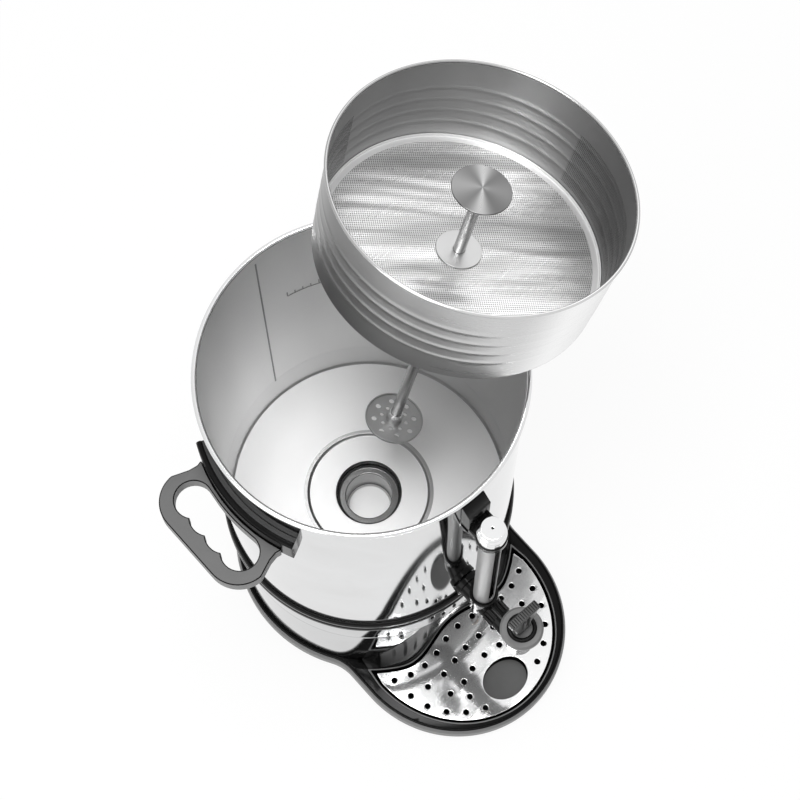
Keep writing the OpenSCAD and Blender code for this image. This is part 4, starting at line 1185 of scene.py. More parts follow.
@dataclass
class Outline:
    """The plan of the base: a round part, a front lobe, and the drip plate's shape in it.

    Attributes:
        round_r: Radius of the round part.
        lobe: Half width and length of the lobe's rounded end.
        lobe_y: Distance from the axis to the lobe's middle.
        fillet: Radius between the lobe and the round part.
        plate: Half width and length of the drip plate.
        collar: Radius of the plate's inner edge beside the niche.
        niche: Depth and half width of the niche.
        horn: Radius of the plate's two points.
        tip: How much less of the width the inner edge has.
    """

    round_r: float = 125.0
    lobe: Pair = (100.5, 104.7)
    lobe_y: float = 112.0
    fillet: float = 40.0
    plate: Pair = (86.0, 95.0)
    collar: float = 132.0
    niche: Pair = (21.0, 64.0)
    horn: float = 4.0
    tip: float = 2.2

    def base(self, depth: float) -> list[Point]:
        """Gives the base's outline.

        Args:
            depth: How far it is moved inwards.

        Returns:
            The outline, counterclockwise.
        """
        a, b = self.lobe
        across = a + self.fillet
        down = math.sqrt((self.round_r + self.fillet) ** 2 - across**2)
        turn = math.atan2(down, across)
        half = arc(self.fillet + depth, math.pi - turn, math.pi, 12, (across, -down))
        half += arc(a - depth, 0.0, -0.5 * math.pi, 40, (0.0, -self.lobe_y), b - depth)[1:]
        back = arc(self.round_r - depth, math.pi + turn, -turn, 96)[1:-1]
        return half + [(-x, y) for x, y in reversed(half[:-1])] + back

    def niche_r(self, x: float) -> float:
        """Gives the radius of the plate's inner edge at x."""
        depth, half = self.niche
        return self.collar - depth * (1 + math.cos(math.pi * min(abs(x) / half, 1))) / 2

    def inner_edge(self, half: float, out: float, sides: int) -> list[Point]:
        """Gives points of the plate's inner edge, moved out, from -half to half."""
        across = [half * (2 * i / sides - 1) for i in range(sides + 1)]
        return [(x, -math.sqrt((self.niche_r(x) - out) ** 2 - x * x)) for x in across]

    def drip(self, grow: float = 0.0) -> list[Point]:
        """Gives the drip plate's outline.

        Args:
            grow: How far it is moved outwards.

        Returns:
            The outline, counterclockwise.
        """
        a, b = self.plate[0] + grow, self.plate[1] + grow
        loop = arc(a, 0.0, -math.pi, 72, (0.0, -self.lobe_y), b)
        loop += self.inner_edge(a - self.tip, grow, 60)
        return soften(loop[::-1], self.horn, steps=5, least=0.55)

    def crescent(self, radius: float, out: float) -> list[Point]:
        """Gives a circle whose front follows the niche.

        Args:
            radius: The circle's radius.
            out: How far its front stays from the plate.

        Returns:
            The outline, counterclockwise.
        """
        depth, half = self.niche
        reach = half / math.pi * math.acos(2 * (self.collar - out - radius) / depth - 1)
        start = math.asin(reach / radius)
        loop = arc(radius, start - 0.5 * math.pi, 1.5 * math.pi - start, 128)
        return loop + self.inner_edge(reach, out, 32)[1:-1]


@dataclass
class Cowl:
    """The black panel that flares from the skirt into the base.

    Attributes:
        plan: The base's plan.
        skirt: Radius of the skirt.
        low: Height of its foot.
        top: Height of its top.
        half: Half width at the top.
        foot: Half width at the foot.
        wall: Thickness.
        lip: Distance of its foot from the drip plate.
        spread: Exponent of its widening towards the foot.
        flare: Exponent of its sweep out towards the foot.
        switch: Distance of the switch from the middle, and its height.
        opening: Half width and half height of the switch's opening.
        lamps: Distance of each lamp from the switch's middle, its rise over it, and its radius.
    """

    plan: Outline
    skirt: float = 120.0
    low: float = 19.25
    top: float = 114.0
    half: float = 41.0
    foot: float = 86.5
    wall: float = 2.2
    lip: float = 4.0
    spread: float = 1.2
    flare: float = 1.4
    switch: Pair = (34.0, 62.0)
    opening: Pair = (12.15, 15.15)
    lamps: Triple = (7.0, 24.0, 3.65)

    def width(self, z: float) -> float:
        """Gives the half width at a height."""
        share = max(self.top - max(z, self.low), 0) / (self.top - self.low)
        return self.half + (self.foot - self.half) * share**self.spread

    def crest(self, x: float) -> float:
        """Gives the height of the edge at x."""
        share = max(abs(x) - self.half, 0) / (self.foot - self.half)
        return self.top - (self.top - self.low) * share ** (1 / self.spread)

    def face(self, x: float, z: float, back: float = 0.0) -> Vector:
        """Gives a point of the face.

        Args:
            x: Its distance from the middle.
            z: Its height.
            back: How far it is set back into the wall.

        Returns:
            The point.
        """
        share = (z - self.low) / max(self.crest(x) - self.low, 1)
        flare = (self.plan.niche_r(x) - self.lip - self.skirt) * max(1 - share, 0) ** self.flare
        radius = self.skirt - back + flare
        return Vector((x, -math.sqrt(radius * radius - x * x), z))

    def openings(self) -> list[Shape]:
        """Gives the shapes that cut the switch's and the lamps' openings.

        Returns:
            The shapes, square to the face at the switch.
        """
        (x, z), (half, high), (aside, rise, radius) = self.switch, self.opening, self.lamps
        near, reach = 10.0, 12.0
        slope = self.face(x + near, z).y - self.face(x - near, z).y
        spin = Matrix.Rotation(math.atan2(slope, 2 * near), 4, "Z") @ Matrix.Rotation(math.pi / 2, 4, "X")
        place = Matrix.Translation(self.face(x, z)) @ spin
        cuts = [Shape().slab(box(-half, half, -high, high), -reach, reach, edge=0.4, steps=2, place=place)]
        for side in (-aside, aside):
            place = Matrix.Translation(self.face(x + side, z + rise)) @ spin
            cuts.append(Shape().slab(circle(radius), -reach, reach, edge=0.2, steps=1, place=place))
        return cuts

    def build(self) -> None:
        """Makes the cowl, with its switch and lamps cut in."""
        rows, columns = 44, 72
        rings = []
        for i in range(rows + 1):
            z = self.low + (self.top - self.low) * i / rows
            xs = [self.width(z) * (2 * j / columns - 1) for j in range(columns + 1)]
            rings.append([self.face(x, z) for x in xs] + [self.face(x, z, self.wall) for x in reversed(xs)])
        shape, cuts = Shape().closed_loft(rings), self.openings()
        Piece("cowl_panel", shape, (Finish.GLOSS_BLACK,), ["front_cowl"], "black_gloss", cuts=cuts).build()


@dataclass
class Housing:
    """The outer shell: band, skirt, cowl, base, drip plate and what is fixed to them.

    Attributes:
        plan: The base's plan.
        skirt: Radius of the skirt.
        sheet: Thickness of the skirt.
        brim: Height of the skirt's upper edge.
        top: Height of the base.
        seat: Distance from the drip plate to the skirt's seat in the base.
        tuck: How far the skirt reaches down into the base.
        clear: Gap between the skirt and the cowl.
        gap: Width of the gap round the drip plate.
        drain: Radius of the drain holes.
        oval: Half width, half length and place of the oval hole.
    """

    plan: Outline = field(default_factory=Outline)
    skirt: float = 120.0
    sheet: float = 0.8
    brim: float = 159.7
    top: float = 19.2
    seat: float = 6.4
    tuck: float = 5.0
    clear: float = 0.1
    gap: float = 2.0
    drain: float = 2.7
    oval: Triple = (22.0, 17.5, 182.3)

    def build(self) -> None:
        """Makes the housing."""
        cowl = Cowl(self.plan)
        self.make_band()
        self.make_skirt(cowl)
        cowl.build()
        self.make_base()
        self.make_plate()

    def make_band(self) -> None:
        """Makes the black band with its two beads, and a painted highlight line in the groove between them.
        """
        profile = [
            (120.1, 157), (122.6, 157), (124.0, 158.4), (124.8, 161.6), (124.6, 164.8), (123.9, 166.2),
            (122.9, 166.5), (122.9, 167.6), (123.9, 168.0), (124.5, 169.6), (124.5, 173.2), (123.6, 175.6),
            (122.4, 177), (121.55, 177), (121.55, 160), (120.1, 160),
        ]
        profile = soften(profile, 0.7)
        # The groove takes a lighter black: a painted highlight line.
        bead, groove = range(2)
        slots = [groove if 166.1 < z < 168.2 and r < 123.5 else bead for r, z in profile]
        shape = Shape().turn(profile, 224, slots=slots)
        finishes = (Finish.GLOSS_BLACK, Finish.STRIPE_BLACK)
        Piece("seam_band", shape, finishes, ["band_ring"], "black_gloss").build()

    def make_skirt(self, cowl: Cowl) -> None:
        """Makes the polished skirt, open where the cowl sits.

        Args:
            cowl: The cowl that fills the opening.
        """
        low, high, inner = self.top - self.tuck, cowl.top + self.clear / 2, self.skirt - self.sheet
        rings = []
        for i in range(25):
            z = low + (high - low) * i / 24
            start = math.asin((cowl.width(z) + self.clear) / self.skirt)
            ends = (start - 0.5 * math.pi, 1.5 * math.pi - start)
            rings.append(lifted(arc(self.skirt, *ends, 200) + arc(inner, *ends, 200)[::-1], z))
        shape = Shape().closed_loft(rings).turn(box(inner, self.skirt, high, self.brim), 224)
        Piece("outer_skirt", shape, (Finish.SKIRT_SKIN,), ["lower_skirt"], "polished_steel").build()

    def make_base(self) -> None:
        """Makes the moulded base: rounded rim, beaded lip, gap round the plate, and pan."""
        rim = [
            (0.0, 2.4), (0.0, 12.0), (0.3, 14.2), (1.0, 16.2), (2.0, 18.2), (2.6, 18.9), (3.2, 19.2),
            (3.7, 19.2), (3.9, 18.6), (4.3, 18.6), (4.5, 19.2),
        ]
        lip = [
            (3.9, 19.2), (3.7, 19.7), (3.1, 20.05), (2.5, 19.8), (self.gap, 19.0), (self.gap, 8.0),
            (-0.4, 8.0), (-0.4, 17.0), (-3.0, 17.0), (-3.0, 4.0),
        ]
        form, plan = Shape(), self.plan
        across, length, ahead = self.oval
        oval = []
        for grow, z in ((0.5, 4.0), (0.0, 3.8)):
            oval.append((circle(across + grow, (0.0, -ahead), 64, length + grow), z))
        seat = [(plan.crescent(self.skirt + 0.15, self.seat), z) for z in (self.top, 10.0)]
        recess = [(plan.crescent(self.skirt - 1.4, self.seat), z) for z in (2.4, 6.0)]
        # The rim's side and the lip's crest take a lighter black, painted light; the pan under the oval takes
        # a grey patch, a painted pool of light.
        gloss, side, painted_light_spot = range(3)
        outer = form.loft([lifted(plan.base(depth), z) for depth, z in rim], [side] * 4 + [gloss] * 6)
        seat = form.loft([lifted(*ring) for ring in seat])
        pan = form.loft([lifted(plan.drip(grow), z) for grow, z in lip], [gloss, side, side] + [gloss] * 6)
        spot = form.loft([lifted(*ring) for ring in oval])
        recess = form.loft([lifted(*ring) for ring in recess])
        for loops in ((outer[-1], seat[0], pan[0]), (seat[-1],), (pan[-1], spot[0])):
            form.cap(loops, gloss)
        form.cap([spot[-1]], painted_light_spot)
        for loops in ((outer[0], recess[0]), (recess[-1],)):
            form.cap(loops, gloss)
        finishes = (Finish.GLOSS_BLACK, Finish.PAINTED_LIT_BLACK, Finish.PAINTED_LIT_FACE)
        Piece("base_moulding", form, finishes, ["base_tray"], "black_gloss").build()

    def make_plate(self) -> None:
        """Makes the mirror drip plate with its drain holes and oval."""
        rows = [
            (0, 118.4), (16, 120.3), (31, 124.3), (46.5, 125.7), (61.5, 123.5), (76, 117.7),
            (8, 137.8), (23.2, 140.3), (39, 143), (57.3, 142), (74.2, 138),
            (0, 154.3), (16.3, 156.3), (30.2, 160.4), (46.5, 160.2), (69.3, 154.8),
            (35.2, 173.7), (60, 170), (47.2, 182), (31.6, 190.5),
        ]
        holes = [circle(self.drain, (s * x, -y), 24) for x, y in rows for s in ((1,) if x == 0 else (-1, 1))]
        holes.append(circle(self.oval[0], (0.0, -self.oval[2]), 64, self.oval[1]))
        shape = Shape().slab(self.plan.drip(), 17.0, 18.4, holes, edge=0.45)
        Piece("drip_grid", shape, (Finish.MIRROR_PLATE,), ["drip_plate"], "plate_steel", "drip_cover").build()


# ---------------------------------------------------------------------------
# Handles
# ---------------------------------------------------------------------------


@dataclass
class Handles:
    """The two grips with their finger hollows, and the mounts that carry them.

    Attributes:
        reach: Distance from the axis to a grip's outside.
        half: Half width of a grip.
        corner: Radius of its outer corners.
        bar: Its depth outside the finger hollows.
        finger: Radius of a finger hollow.
        pitch: Distance between the hollows.
        root: Radius of the mount that the grip starts from.
        trim: Depth of the strip that closes the opening along the mount.
        low: Height of its underside.
        high: Height of its top.
        edge: Radius of its edges.
        cover: Angle that a mount covers, in degrees.
        shell: Inner and outer radius of a mount.
        rise: Heights of a mount's ends over the grip's underside.
    """

    reach: float = 172.5
    half: float = 52.0
    corner: float = 26.0
    bar: float = 12.2
    finger: float = 14.5
    pitch: float = 18.0
    root: float = 130.25
    trim: float = 3.4
    low: float = 385.0
    high: float = 400.0
    edge: float = 0.9
    cover: float = 50.0
    shell: Pair = (121.6, 130.1)
    rise: Pair = (3.0, 33.0)

    def build(self) -> None:
        """Makes both handles."""
        for name, turn in (("right", 0.0), ("left", 180.0)):
            place = turned(turn)
            grip = Shape().slab(
                self.outline(), self.low, self.high, [self.hollow()], self.edge, place=place, slots=(0, 1, 2)
            )
            # The grip's sides take a lighter black and its rounded edges the glossy near-black: painted light
            # on the sides, painted dark outlines on the edges.
            finishes = (Finish.SATIN_BLACK, Finish.GLOSS_BLACK, Finish.PAINTED_LIT_BLACK)
            Piece(f"handle_{name}", grip, finishes, [f"grip_{name}"], "black_satin").build()
            mount = self.mount(place)
            finishes = (Finish.GLOSS_BLACK, Finish.STRIPE_BLACK)
            Piece(f"handle_mount_{name}", mount, finishes, [f"grip_mount_{name}"], "black_gloss").build()

    def outline(self) -> list[Point]:
        """Gives the grip's outline, from the outer bow to the mount.

        Returns:
            The outline, counterclockwise.
        """
        cx, cy = self.reach - self.corner, self.half - self.corner
        neck = self.half - 6
        half = [(self.reach, 0.0)] + arc(self.corner, 0.0, 0.5 * math.pi, 16, (cx, cy))
        half += [(cx - 13, neck + 0.8), (cx - 20, neck - 0.5)]
        half += [(math.sqrt(self.root**2 - y * y), y) for y in (neck + 0.7, 36.0, 24.0, 12.0)]
        return soften(mirrored(half, self.root), 2.6, least=0.3)

    def hollow(self) -> list[Point]:
        """Gives the opening, with four finger hollows on its outer side.

        Returns:
            The outline, counterclockwise.
        """
        fx = self.reach - self.bar - self.finger
        lap = math.acos(self.pitch / 2 / self.finger)
        flank, start = self.root + self.trim, lap - 0.5 * math.pi
        half = [(fx + self.finger * math.sin(lap), 0.0)]
        half += arc(self.finger, start, -start, 12, (fx, 0.5 * self.pitch))[1:]
        half += arc(self.finger, start, math.pi, 21, (fx, 1.5 * self.pitch))
        half += [(math.sqrt(flank**2 - y * y), y) for y in (20.0, 13.0, 6.0)]
        return soften(mirrored(half, flank), 1.2, steps=3, least=0.3)

    def mount(self, place: Matrix) -> Shape:
        """Gives a mount, with the inner stripe of its top painted lighter: painted light on the top face.

        Args:
            place: Turns it to its side of the urn.

        Returns:
            Its shape.
        """
        (inner, outer), low, high = self.shell, self.low + self.rise[0], self.low + self.rise[1]
        profile = [
            (inner, low), (outer - 1, low), (outer, low + 1), (outer, high - 3), (outer - 1, high - 1),
            (outer - 3.4, high), (outer - 4.4, high - 1.4), (inner + 2.2, high - 1.4), (inner, high - 0.6),
        ]
        profile = soften(profile, 0.6)
        # The top's inner stripe takes a lighter black: painted light.
        gloss, stripe = range(2)
        slots = [stripe if z > high - 1.9 and r < outer - 4.6 else gloss for r, z in profile]
        return Shape().turn(profile, 64, -self.cover / 2, self.cover, slots=slots, place=place)


# ---------------------------------------------------------------------------
# Sight column and tap
# ---------------------------------------------------------------------------


@dataclass
class SightColumn:
    """The level column: bracket, chromed guard with its window, and cap.

    Attributes:
        axis: Distance from the vessel's axis.
        guard: Outside and inside radius of the guard.
        base: Height of the guard's lower end.
        wall: Radius of the vessel wall.
        clamp: Height of the clamp's underside and top.
        clamp_r: Outer radius of the clamp.
        window: Half width, and heights between which the window runs.
        root: How far the bracket's root stands out, and its height.
        half: Half width of the bracket.
        nose: Distance from the axis to where the arm starts to round.
        bow: Radius of the arm's rounded end.
    """

    axis: float = 144.0
    guard: Pair = (8.9, 7.9)
    base: float = 220.0
    wall: float = 121.5
    clamp: Pair = (403.0, 411.0)
    clamp_r: float = 12.3
    window: Triple = (3.0, 238.0, 393.0)
    root: Pair = (9.0, 449.0)
    half: float = 10.5
    nose: float = 138.0
    bow: float = 10.0

    def build(self) -> None:
        """Makes the column."""
        self.make_bracket()
        self.make_guard()
        self.make_cap()

    def make_bracket(self) -> None:
        """Makes the bracket: a root against the wall, a ribbed arm and the clamp."""
        half, back, (low, high), (out, tall) = self.half, 0.3 - self.wall, self.clamp, self.root
        front = -self.wall - out
        profile = [
            (back, low - 6), (back, tall), (-self.wall - 1.5, tall), (front, tall - 9), (front, low - 1),
            (front + 4, low - 6),
        ]
        side = Matrix(((0, 0, 1, 0), (1, 0, 0, 0), (0, 1, 0, 0), (0, 0, 0, 1)))
        form = Shape().slab(profile, -half, half, edge=0.8, place=side)
        turns = (2.62, 2.24, 1.84, 1.3, 0.9, 0.52)
        bow = [(self.bow * math.cos(t), self.bow * math.sin(t) - self.axis) for t in turns]
        form.slab([(-half, -self.nose), *bow, (half, -self.nose), (half, back), (-half, back)], low, high)
        ring = soften(box(self.guard[0] + 0.05, self.clamp_r, low, high), 0.7)
        form.turn(ring, 64, place=in_front(self.axis))
        for left, right, near in ((-half, -half + 2, 137.0), (-1.0, 1.0, 132.4), (half - 2, half, 137.0)):
            form.slab(box(left, right, -near, back), high - 0.5, high + 2.1, edge=0.5)
        Piece("column_arm", form, (Finish.GLOSS_BLACK,), ["column_bracket"], "black_gloss").build()

    def make_guard(self) -> None:
        """Makes the guard tube and cuts its window."""
        (outer, inner), (half, low, high) = self.guard, self.window
        tube = soften(box(inner, outer, self.base, self.clamp[1]), 0.25)
        slot = arc(half, 0.0, math.pi, 12, (0.0, high)) + arc(half, math.pi, math.tau, 12, (0.0, low))
        cut = Shape().slab(slot, 0.0, 12.0, edge=0.1, steps=1, place=along_y(-self.axis, 0.0))
        shape = Shape().turn(tube, 96, 90.0, place=in_front(self.axis))
        Piece("guard_sleeve", shape, (Finish.GUARD_CHROME,), ["guard_tube"], "chrome", cuts=[cut]).build()

    def make_cap(self) -> None:
        """Makes the stepped cap with its vent hole."""
        steps = [
            (0.9, 20), (8.9, 20), (9.6, 18.6), (9.7, 14.4), (10.5, 14), (10.6, 10.4), (11.1, 10), (11.1, 7.4),
            (11.5, 7), (11.5, 0), (6.7, 0), (6.7, 6), (0.9, 6),
        ]
        profile = soften([(r, self.clamp[1] + z) for r, z in steps], 0.5)
        shape = Shape().turn(profile, 96, place=in_front(self.axis))
        Piece("column_crown", shape, (Finish.BRIGHT_CHROME,), ["column_cap"], "chrome").build()


@dataclass
class Tap:
    """The tap: tee, union nut and body, bonnet, spring and lever.

    Attributes:
        height: Height of its axis.
        column: Distance from the vessel's axis to the tee.
        nozzle: Distance to the nozzle.
        wall: Radius of the vessel wall.
        nut: Distance to where the union nut starts.
        ribs: Number of ribs round the nut.
        pin: Height of the lever's pin.
        blade: Half width of the lever at its pin and at its ridge, and its rise.
        spring: Heights of the spring's ends.
        coils: Turns of the spring.
        coil: Radius of a turn, and of the wire.
        lift: How far the open valve lifts the spring's lower end; not used.
    """

    height: float = 205.0
    column: float = 144.0
    nozzle: float = 188.5
    wall: float = 121.5
    nut: float = 153.9
    ribs: int = 16
    pin: float = 250.2
    blade: Triple = (6.5, 14.5, 42.0)
    spring: Pair = (202.1, 239.9)
    coils: int = 6
    coil: Pair = (4.6, 0.6)
    lift: float = 5.0

    def build(self) -> None:
        """Makes the tap."""
        self.make_tee()
        self.make_body()
        self.make_bonnet()
        self.make_spring()
        self.make_lever()

    def make_tee(self) -> None:
        """Makes the tee below the column and its flange on the wall."""
        post = [
            (0, 191), (9.6, 191), (10.9, 192.4), (10.9, 218.6), (11.9, 219.4), (11.9, 228), (9, 228),
            (9, 220), (0, 220),
        ]
        form = Shape().turn(soften(post, 0.8), 72, place=in_front(self.column))
        form.turn(soften(box(0, 10.4, 0, 29.4), 0.8), 72, place=along_y(-self.wall - 3, self.height))
        form.turn(soften(box(0, 12.4, 0, 5.8), 1.2), 72, place=along_y(-self.wall - 0.2, self.height))
        Piece("tee_moulding", form, (Finish.GLOSS_BLACK,), ["tee_block"], "black_gloss").build()

    def make_body(self) -> None:
        """Makes the ribbed union nut, the barrel, the valve chamber and the nozzle."""
        barrel = along_y(-self.nut, self.height)
        form = Shape().turn(soften(box(0, 9.8, 0, 34.6), 0.8), 72, place=barrel)
        for i in range(self.ribs):
            place = barrel @ turned(360 * i / self.ribs)
            form.slab(box(9.2, 10.8, -0.9, 0.9), 1.0, 11.0, edge=0.4, steps=2, place=place)
        chamber = [
            (5, 181), (8, 181), (8, 188), (11.2, 193), (12.6, 226), (14.2, 240), (9.4, 240), (9.4, 196),
            (5, 196),
        ]
        form.turn(soften(chamber, 0.9), 96, place=in_front(self.nozzle))
        Piece("tap_casting", form, (Finish.GLOSS_BLACK,), ["tap_body"], "black_gloss").build()

    def make_bonnet(self) -> None:
        """Makes the broad bonnet and the raised ring on it."""
        hood = [
            (2.7, 240), (16.9, 240), (17.7, 240.8), (17.7, 244.4), (16.1, 246), (10.4, 246), (10.0, 245.3),
            (2.7, 245.3),
        ]
        boss = [(8.6, 245.5), (8.6, 247.6), (9.2, 248.4), (11, 248.4), (12.6, 245.8)]
        shape = Shape()
        for slot, profile in enumerate((hood, boss)):
            shape.turn(soften(profile, 0.6), 96, slots=slot, place=in_front(self.nozzle))
        # The hood takes the lighter black of lit faces, painted light; the raised ring keeps the glossy
        # black.
        finishes = (Finish.PAINTED_LIT_BLACK, Finish.GLOSS_BLACK)
        Piece("tap_hood", shape, finishes, ["tap_bonnet"], "black_gloss").build()

    def make_spring(self) -> None:
        """Makes the coil between the seat cup and the bonnet, built at one length."""
        (low, high), (coil, wire), sides = self.spring, self.coil, 24 * self.coils
        section = circle(wire, sides=10)
        rings = []
        for i in range(sides + 1):
            out = turned(360 * self.coils * i / sides)
            z = low + wire + (high - low - 2 * wire) * i / sides
            ring = [out @ Vector((coil + x, 0.0, y)) for x, y in section]
            rings.append([Vector((p.x, p.y - self.nozzle, z + p.z)) for p in ring])
        form = Shape().closed_loft(rings, flat=section)
        finishes = (Finish.PLAIN_STEEL,)
        piece = Piece("return_spring", form, finishes, ["tap_spring"], "fastener_steel", "valve").build()
        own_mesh(piece)

    def make_lever(self) -> None:
        """Makes the paddle-shaped lever with its pivot, its two rails and its ribbed ridge."""
        narrow, broad, rise = self.blade
        low, high, here = self.pin - 1, self.pin + rise, in_front(self.nozzle)
        levels = [
            (low, narrow, -3.4, 3.6), (low + 11, narrow, -3.2, 3.3), (low + 20, 9.6, -2.9, 2.9),
            (high - 12, 13.6, -2.6, 2.6), (high - 8, broad, -2.9, 3.0), (high - 3, broad, -3.5, 4.0),
            (high - 1, broad - 0.3, -3.5, 4.2), (high - 0.2, broad - 1.0, -3.0, 3.6),
        ]
        rings = []
        for z, half, back, ahead in levels:
            section = soften(box(-half, half, back, ahead), 1.4, steps=3)
            rings.append([here @ p for p in lifted(section, z)])
        head, blade, rib_slot = range(3)
        form = Shape().closed_loft(rings, [blade] * 4 + [head] * 3)
        across = Matrix.Translation((-narrow, -self.nozzle, self.pin)) @ Matrix.Rotation(math.pi / 2, 4, "Y")
        form.turn(soften(box(2.06, 3.8, 0, 2 * narrow), 0.5), 48, place=across)
        for x in (-2.6, 2.6):
            rail = box(x - 0.7, x + 0.7, -5.0, -2.6)
            form.slab(rail, self.pin + 10, high - 6, edge=0.5, steps=2, place=here)
        for i in range(13):
            x = (broad - 1.6) * (i / 6 - 1)
            rib = box(x - 0.5, x + 0.5, -2.6, 3.4)
            form.slab(rib, high - 0.8, high, edge=0.3, steps=1, place=here, slots=(rib_slot,) * 3)
        # The head takes a dark grey and the blade a lighter grey, copies of the black moulding for lit faces:
        # painted light; the ribs stay glossy black.
        finishes = (Finish.STRIPE_BLACK, Finish.PAINTED_LIT_FACE, Finish.GLOSS_BLACK)
        Piece("lever_paddle", form, finishes, ["tap_lever"], "black_gloss", "lever").build()


# ---------------------------------------------------------------------------
# Filter
# ---------------------------------------------------------------------------


@dataclass
class Filter:
    """The lifted filter: basket, hub, pump stem, spreader and pump foot, in the stem's own frame.

    Attributes:
        stand: How it leans.
        floor: Distance up the stem to the basket floor.
        low: Height of the basket's lower edge.
        tall: Height of the basket.
        radii: Radius of the basket at its lower edge and under its rim.
        sheet: Thickness of the basket sheet.
        roll: Radius of the rolled rim.
        beads: Heights of the beads above the lower edge.
        bead: How far a bead stands out, and its half height.
        punched: Heights between which the wall is perforated.
        sieve: Radii between which the floor is perforated.
        heading: Direction of the floor's shallow waves, in degrees.
        wave: Their height, and the lengths of ripple, swell and sway.
        stem: Outside and inside radius of the stem.
        bore: Radius of the holes that the stem passes.
        foot: Height of the pump foot.
        foot_r: Radius of the pump foot.
        crown: Height of the spreader.
    """

    stand: Lean = FILTER_LEAN
    floor: float = 340.5
    low: float = 334.9
    tall: float = 85.6
    radii: Pair = (108.0, 112.5)
    sheet: float = 0.8
    roll: float = 1.3
    beads: tuple[float, ...] = (22.0, 34.0, 46.0, 58.0)
    bead: Pair = (0.3, 2.0)
    punched: Pair = (12.0, 64.0)
    sieve: Pair = (7.5, 103.5)
    heading: float = -50.3
    wave: tuple[float, ...] = (0.28, 2.3, 9.0, 31.0)
    stem: Pair = (4.5, 3.5)
    bore: float = 4.56
    foot: float = 107.1
    foot_r: float = 23.9
    crown: float = 413.9

    def put(
        self, name: str, shape: Shape, finishes: Sequence[Finish], node: str, slot: str, body: str
    ) -> None:
        """Builds a piece of the filter in its leaning place."""
        Piece(name, shape, finishes, [node], slot, body, self.stand.matrix()).build()

    def build(self) -> None:
        """Makes the filter."""
        self.make_wall()
        self.make_floor()
        self.make_hub()
        self.make_stem()
        self.make_spreader()
        self.make_foot()

    def radius(self, z: float) -> float:
        """Gives the wall's radius at a height, without its beads."""
        return self.radii[0] + (self.radii[1] - self.radii[0]) * (z - self.low) / self.tall

    def beaded(self, z: float) -> float:
        """Gives the wall's radius with its beads.

        Args:
            z: The height.

        Returns:
            The outside radius there.
        """
        out, half = self.bead
        bulge = sum(out * math.exp(-(((z - self.low - bead) / half) ** 2)) for bead in self.beads)
        return self.radius(z) + bulge

    def make_wall(self) -> None:
        """Makes the beaded wall with its perforated zone and rolled rim."""
        top, roll, pitch = self.low + self.tall, self.roll, 0.75
        heights = [self.low + pitch * i for i in range(int((self.tall - roll) / pitch) + 1)]
        outer = [(self.beaded(z), z) for z in heights]
        inner = [(self.beaded(z) - self.sheet, z) for z in reversed(heights)]
        centre = (self.radius(top - roll) + roll - self.sheet, top - roll)
        rim = arc(roll, math.radians(-125), math.pi, 14, centre)
        (low, high), (plain, punched, bright, outside) = self.punched, range(4)
        slots = [outside] * (len(outer) - 1) + [bright] * (len(rim) + 1)
        slots += [punched if low < z - self.low < high else plain for _, z in inner]
        shape = Shape(level=True).turn(outer + rim + inner, slots=slots)
        finishes = (Finish.BASKET_SHEET, Finish.BASKET_PUNCHED, Finish.BASKET_RIM, Finish.BASKET_OUTSIDE)
        self.put("basket_shell", shape, finishes, "basket_wall", "satin_steel", "basket")

    def make_floor(self) -> None:
        """Makes the fine sieve with its plain border and turned-up edge."""
        (near, plain), z, top = self.sieve, self.floor, self.floor + self.sheet
        edge = self.radius(z) - self.sheet - 0.05
        radii = [near + (plain - near) * i / 45 for i in range(45)]
        border = [
            (plain, z), (edge - 0.6, z), (edge, top), (edge, z + 3), (edge - 0.8, z + 3),
            (edge - 0.8, z + 1.6), (edge - 1.4, top), (plain, top),
        ]
        border = soften(border, 0.6, closed=False)
        profile = [(r, z) for r in radii] + border + [(r, top) for r in reversed(radii)]
        slots = [1 if r < plain - 0.1 else 0 for r, _ in profile]
        shape = Shape(planar=True).turn(profile, slots=slots)
        for point in shape.points:
            point.z += self.ripple(point)
        finishes = (Finish.FLOOR_BORDER, Finish.FLOOR_PUNCHED)
        self.put("basket_sieve", shape, finishes, "basket_floor", "satin_steel", "basket")

    def ripple(self, point: Vector) -> float:
        """Gives the height of the sieve's shallow waves, which fade out at hub and border.

        Args:
            point: The place on the floor.

        Returns:
            The height.
        """
        (tall, ripple, swell, sway), heading = self.wave, math.radians(self.heading)
        reach = math.hypot(point.x, point.y)
        across = -point.x * math.sin(heading) + point.y * math.cos(heading)
        along = point.x * math.cos(heading) + point.y * math.sin(heading)
        fade = max(0.0, min(1.0, (self.sieve[1] - reach) / 12, (reach - 18) / 12))
        wave = math.sin(across / ripple + 1.1 * math.sin(along / sway)) * math.sin(across / swell + 1)
        return tall * fade * wave

    def make_hub(self) -> None:
        """Makes the washer and collar at the middle of the basket floor."""
        z = self.floor + self.sheet + 0.02
        washer = soften(box(self.bore, 17.5, z, z + 1.2), 0.4)
        collar = soften(box(self.bore, 7.4, self.floor - 3, z + 0.9), 0.4)
        shape = Shape().turn(washer, 96).turn(collar, 64)
        self.put("sieve_washer", shape, (Finish.HUB_STEEL,), "basket_hub", "satin_steel", "basket")

    def make_stem(self) -> None:
        """Makes the pump stem and the collars on it."""
        outer, inner = self.stem
        tube = soften(box(inner, outer, self.foot + 2, self.crown - 2), 0.3)
        self.put("stem_tube", Shape().turn(tube, 64), (Finish.STEM_CHROME,), "pump_stem", "chrome", "pump")
        rings = Shape()
        for low, tall in ((self.floor - 6.05, 3.0), (self.foot + 7, 4.0), (self.crown - 12, 4.0)):
            rings.turn(soften(box(outer + 0.01, 5.6, low, low + tall), 0.7), 64)
        self.put("stem_rings", rings, (Finish.BRIGHT_CHROME,), "stem_collars", "chrome", "pump")

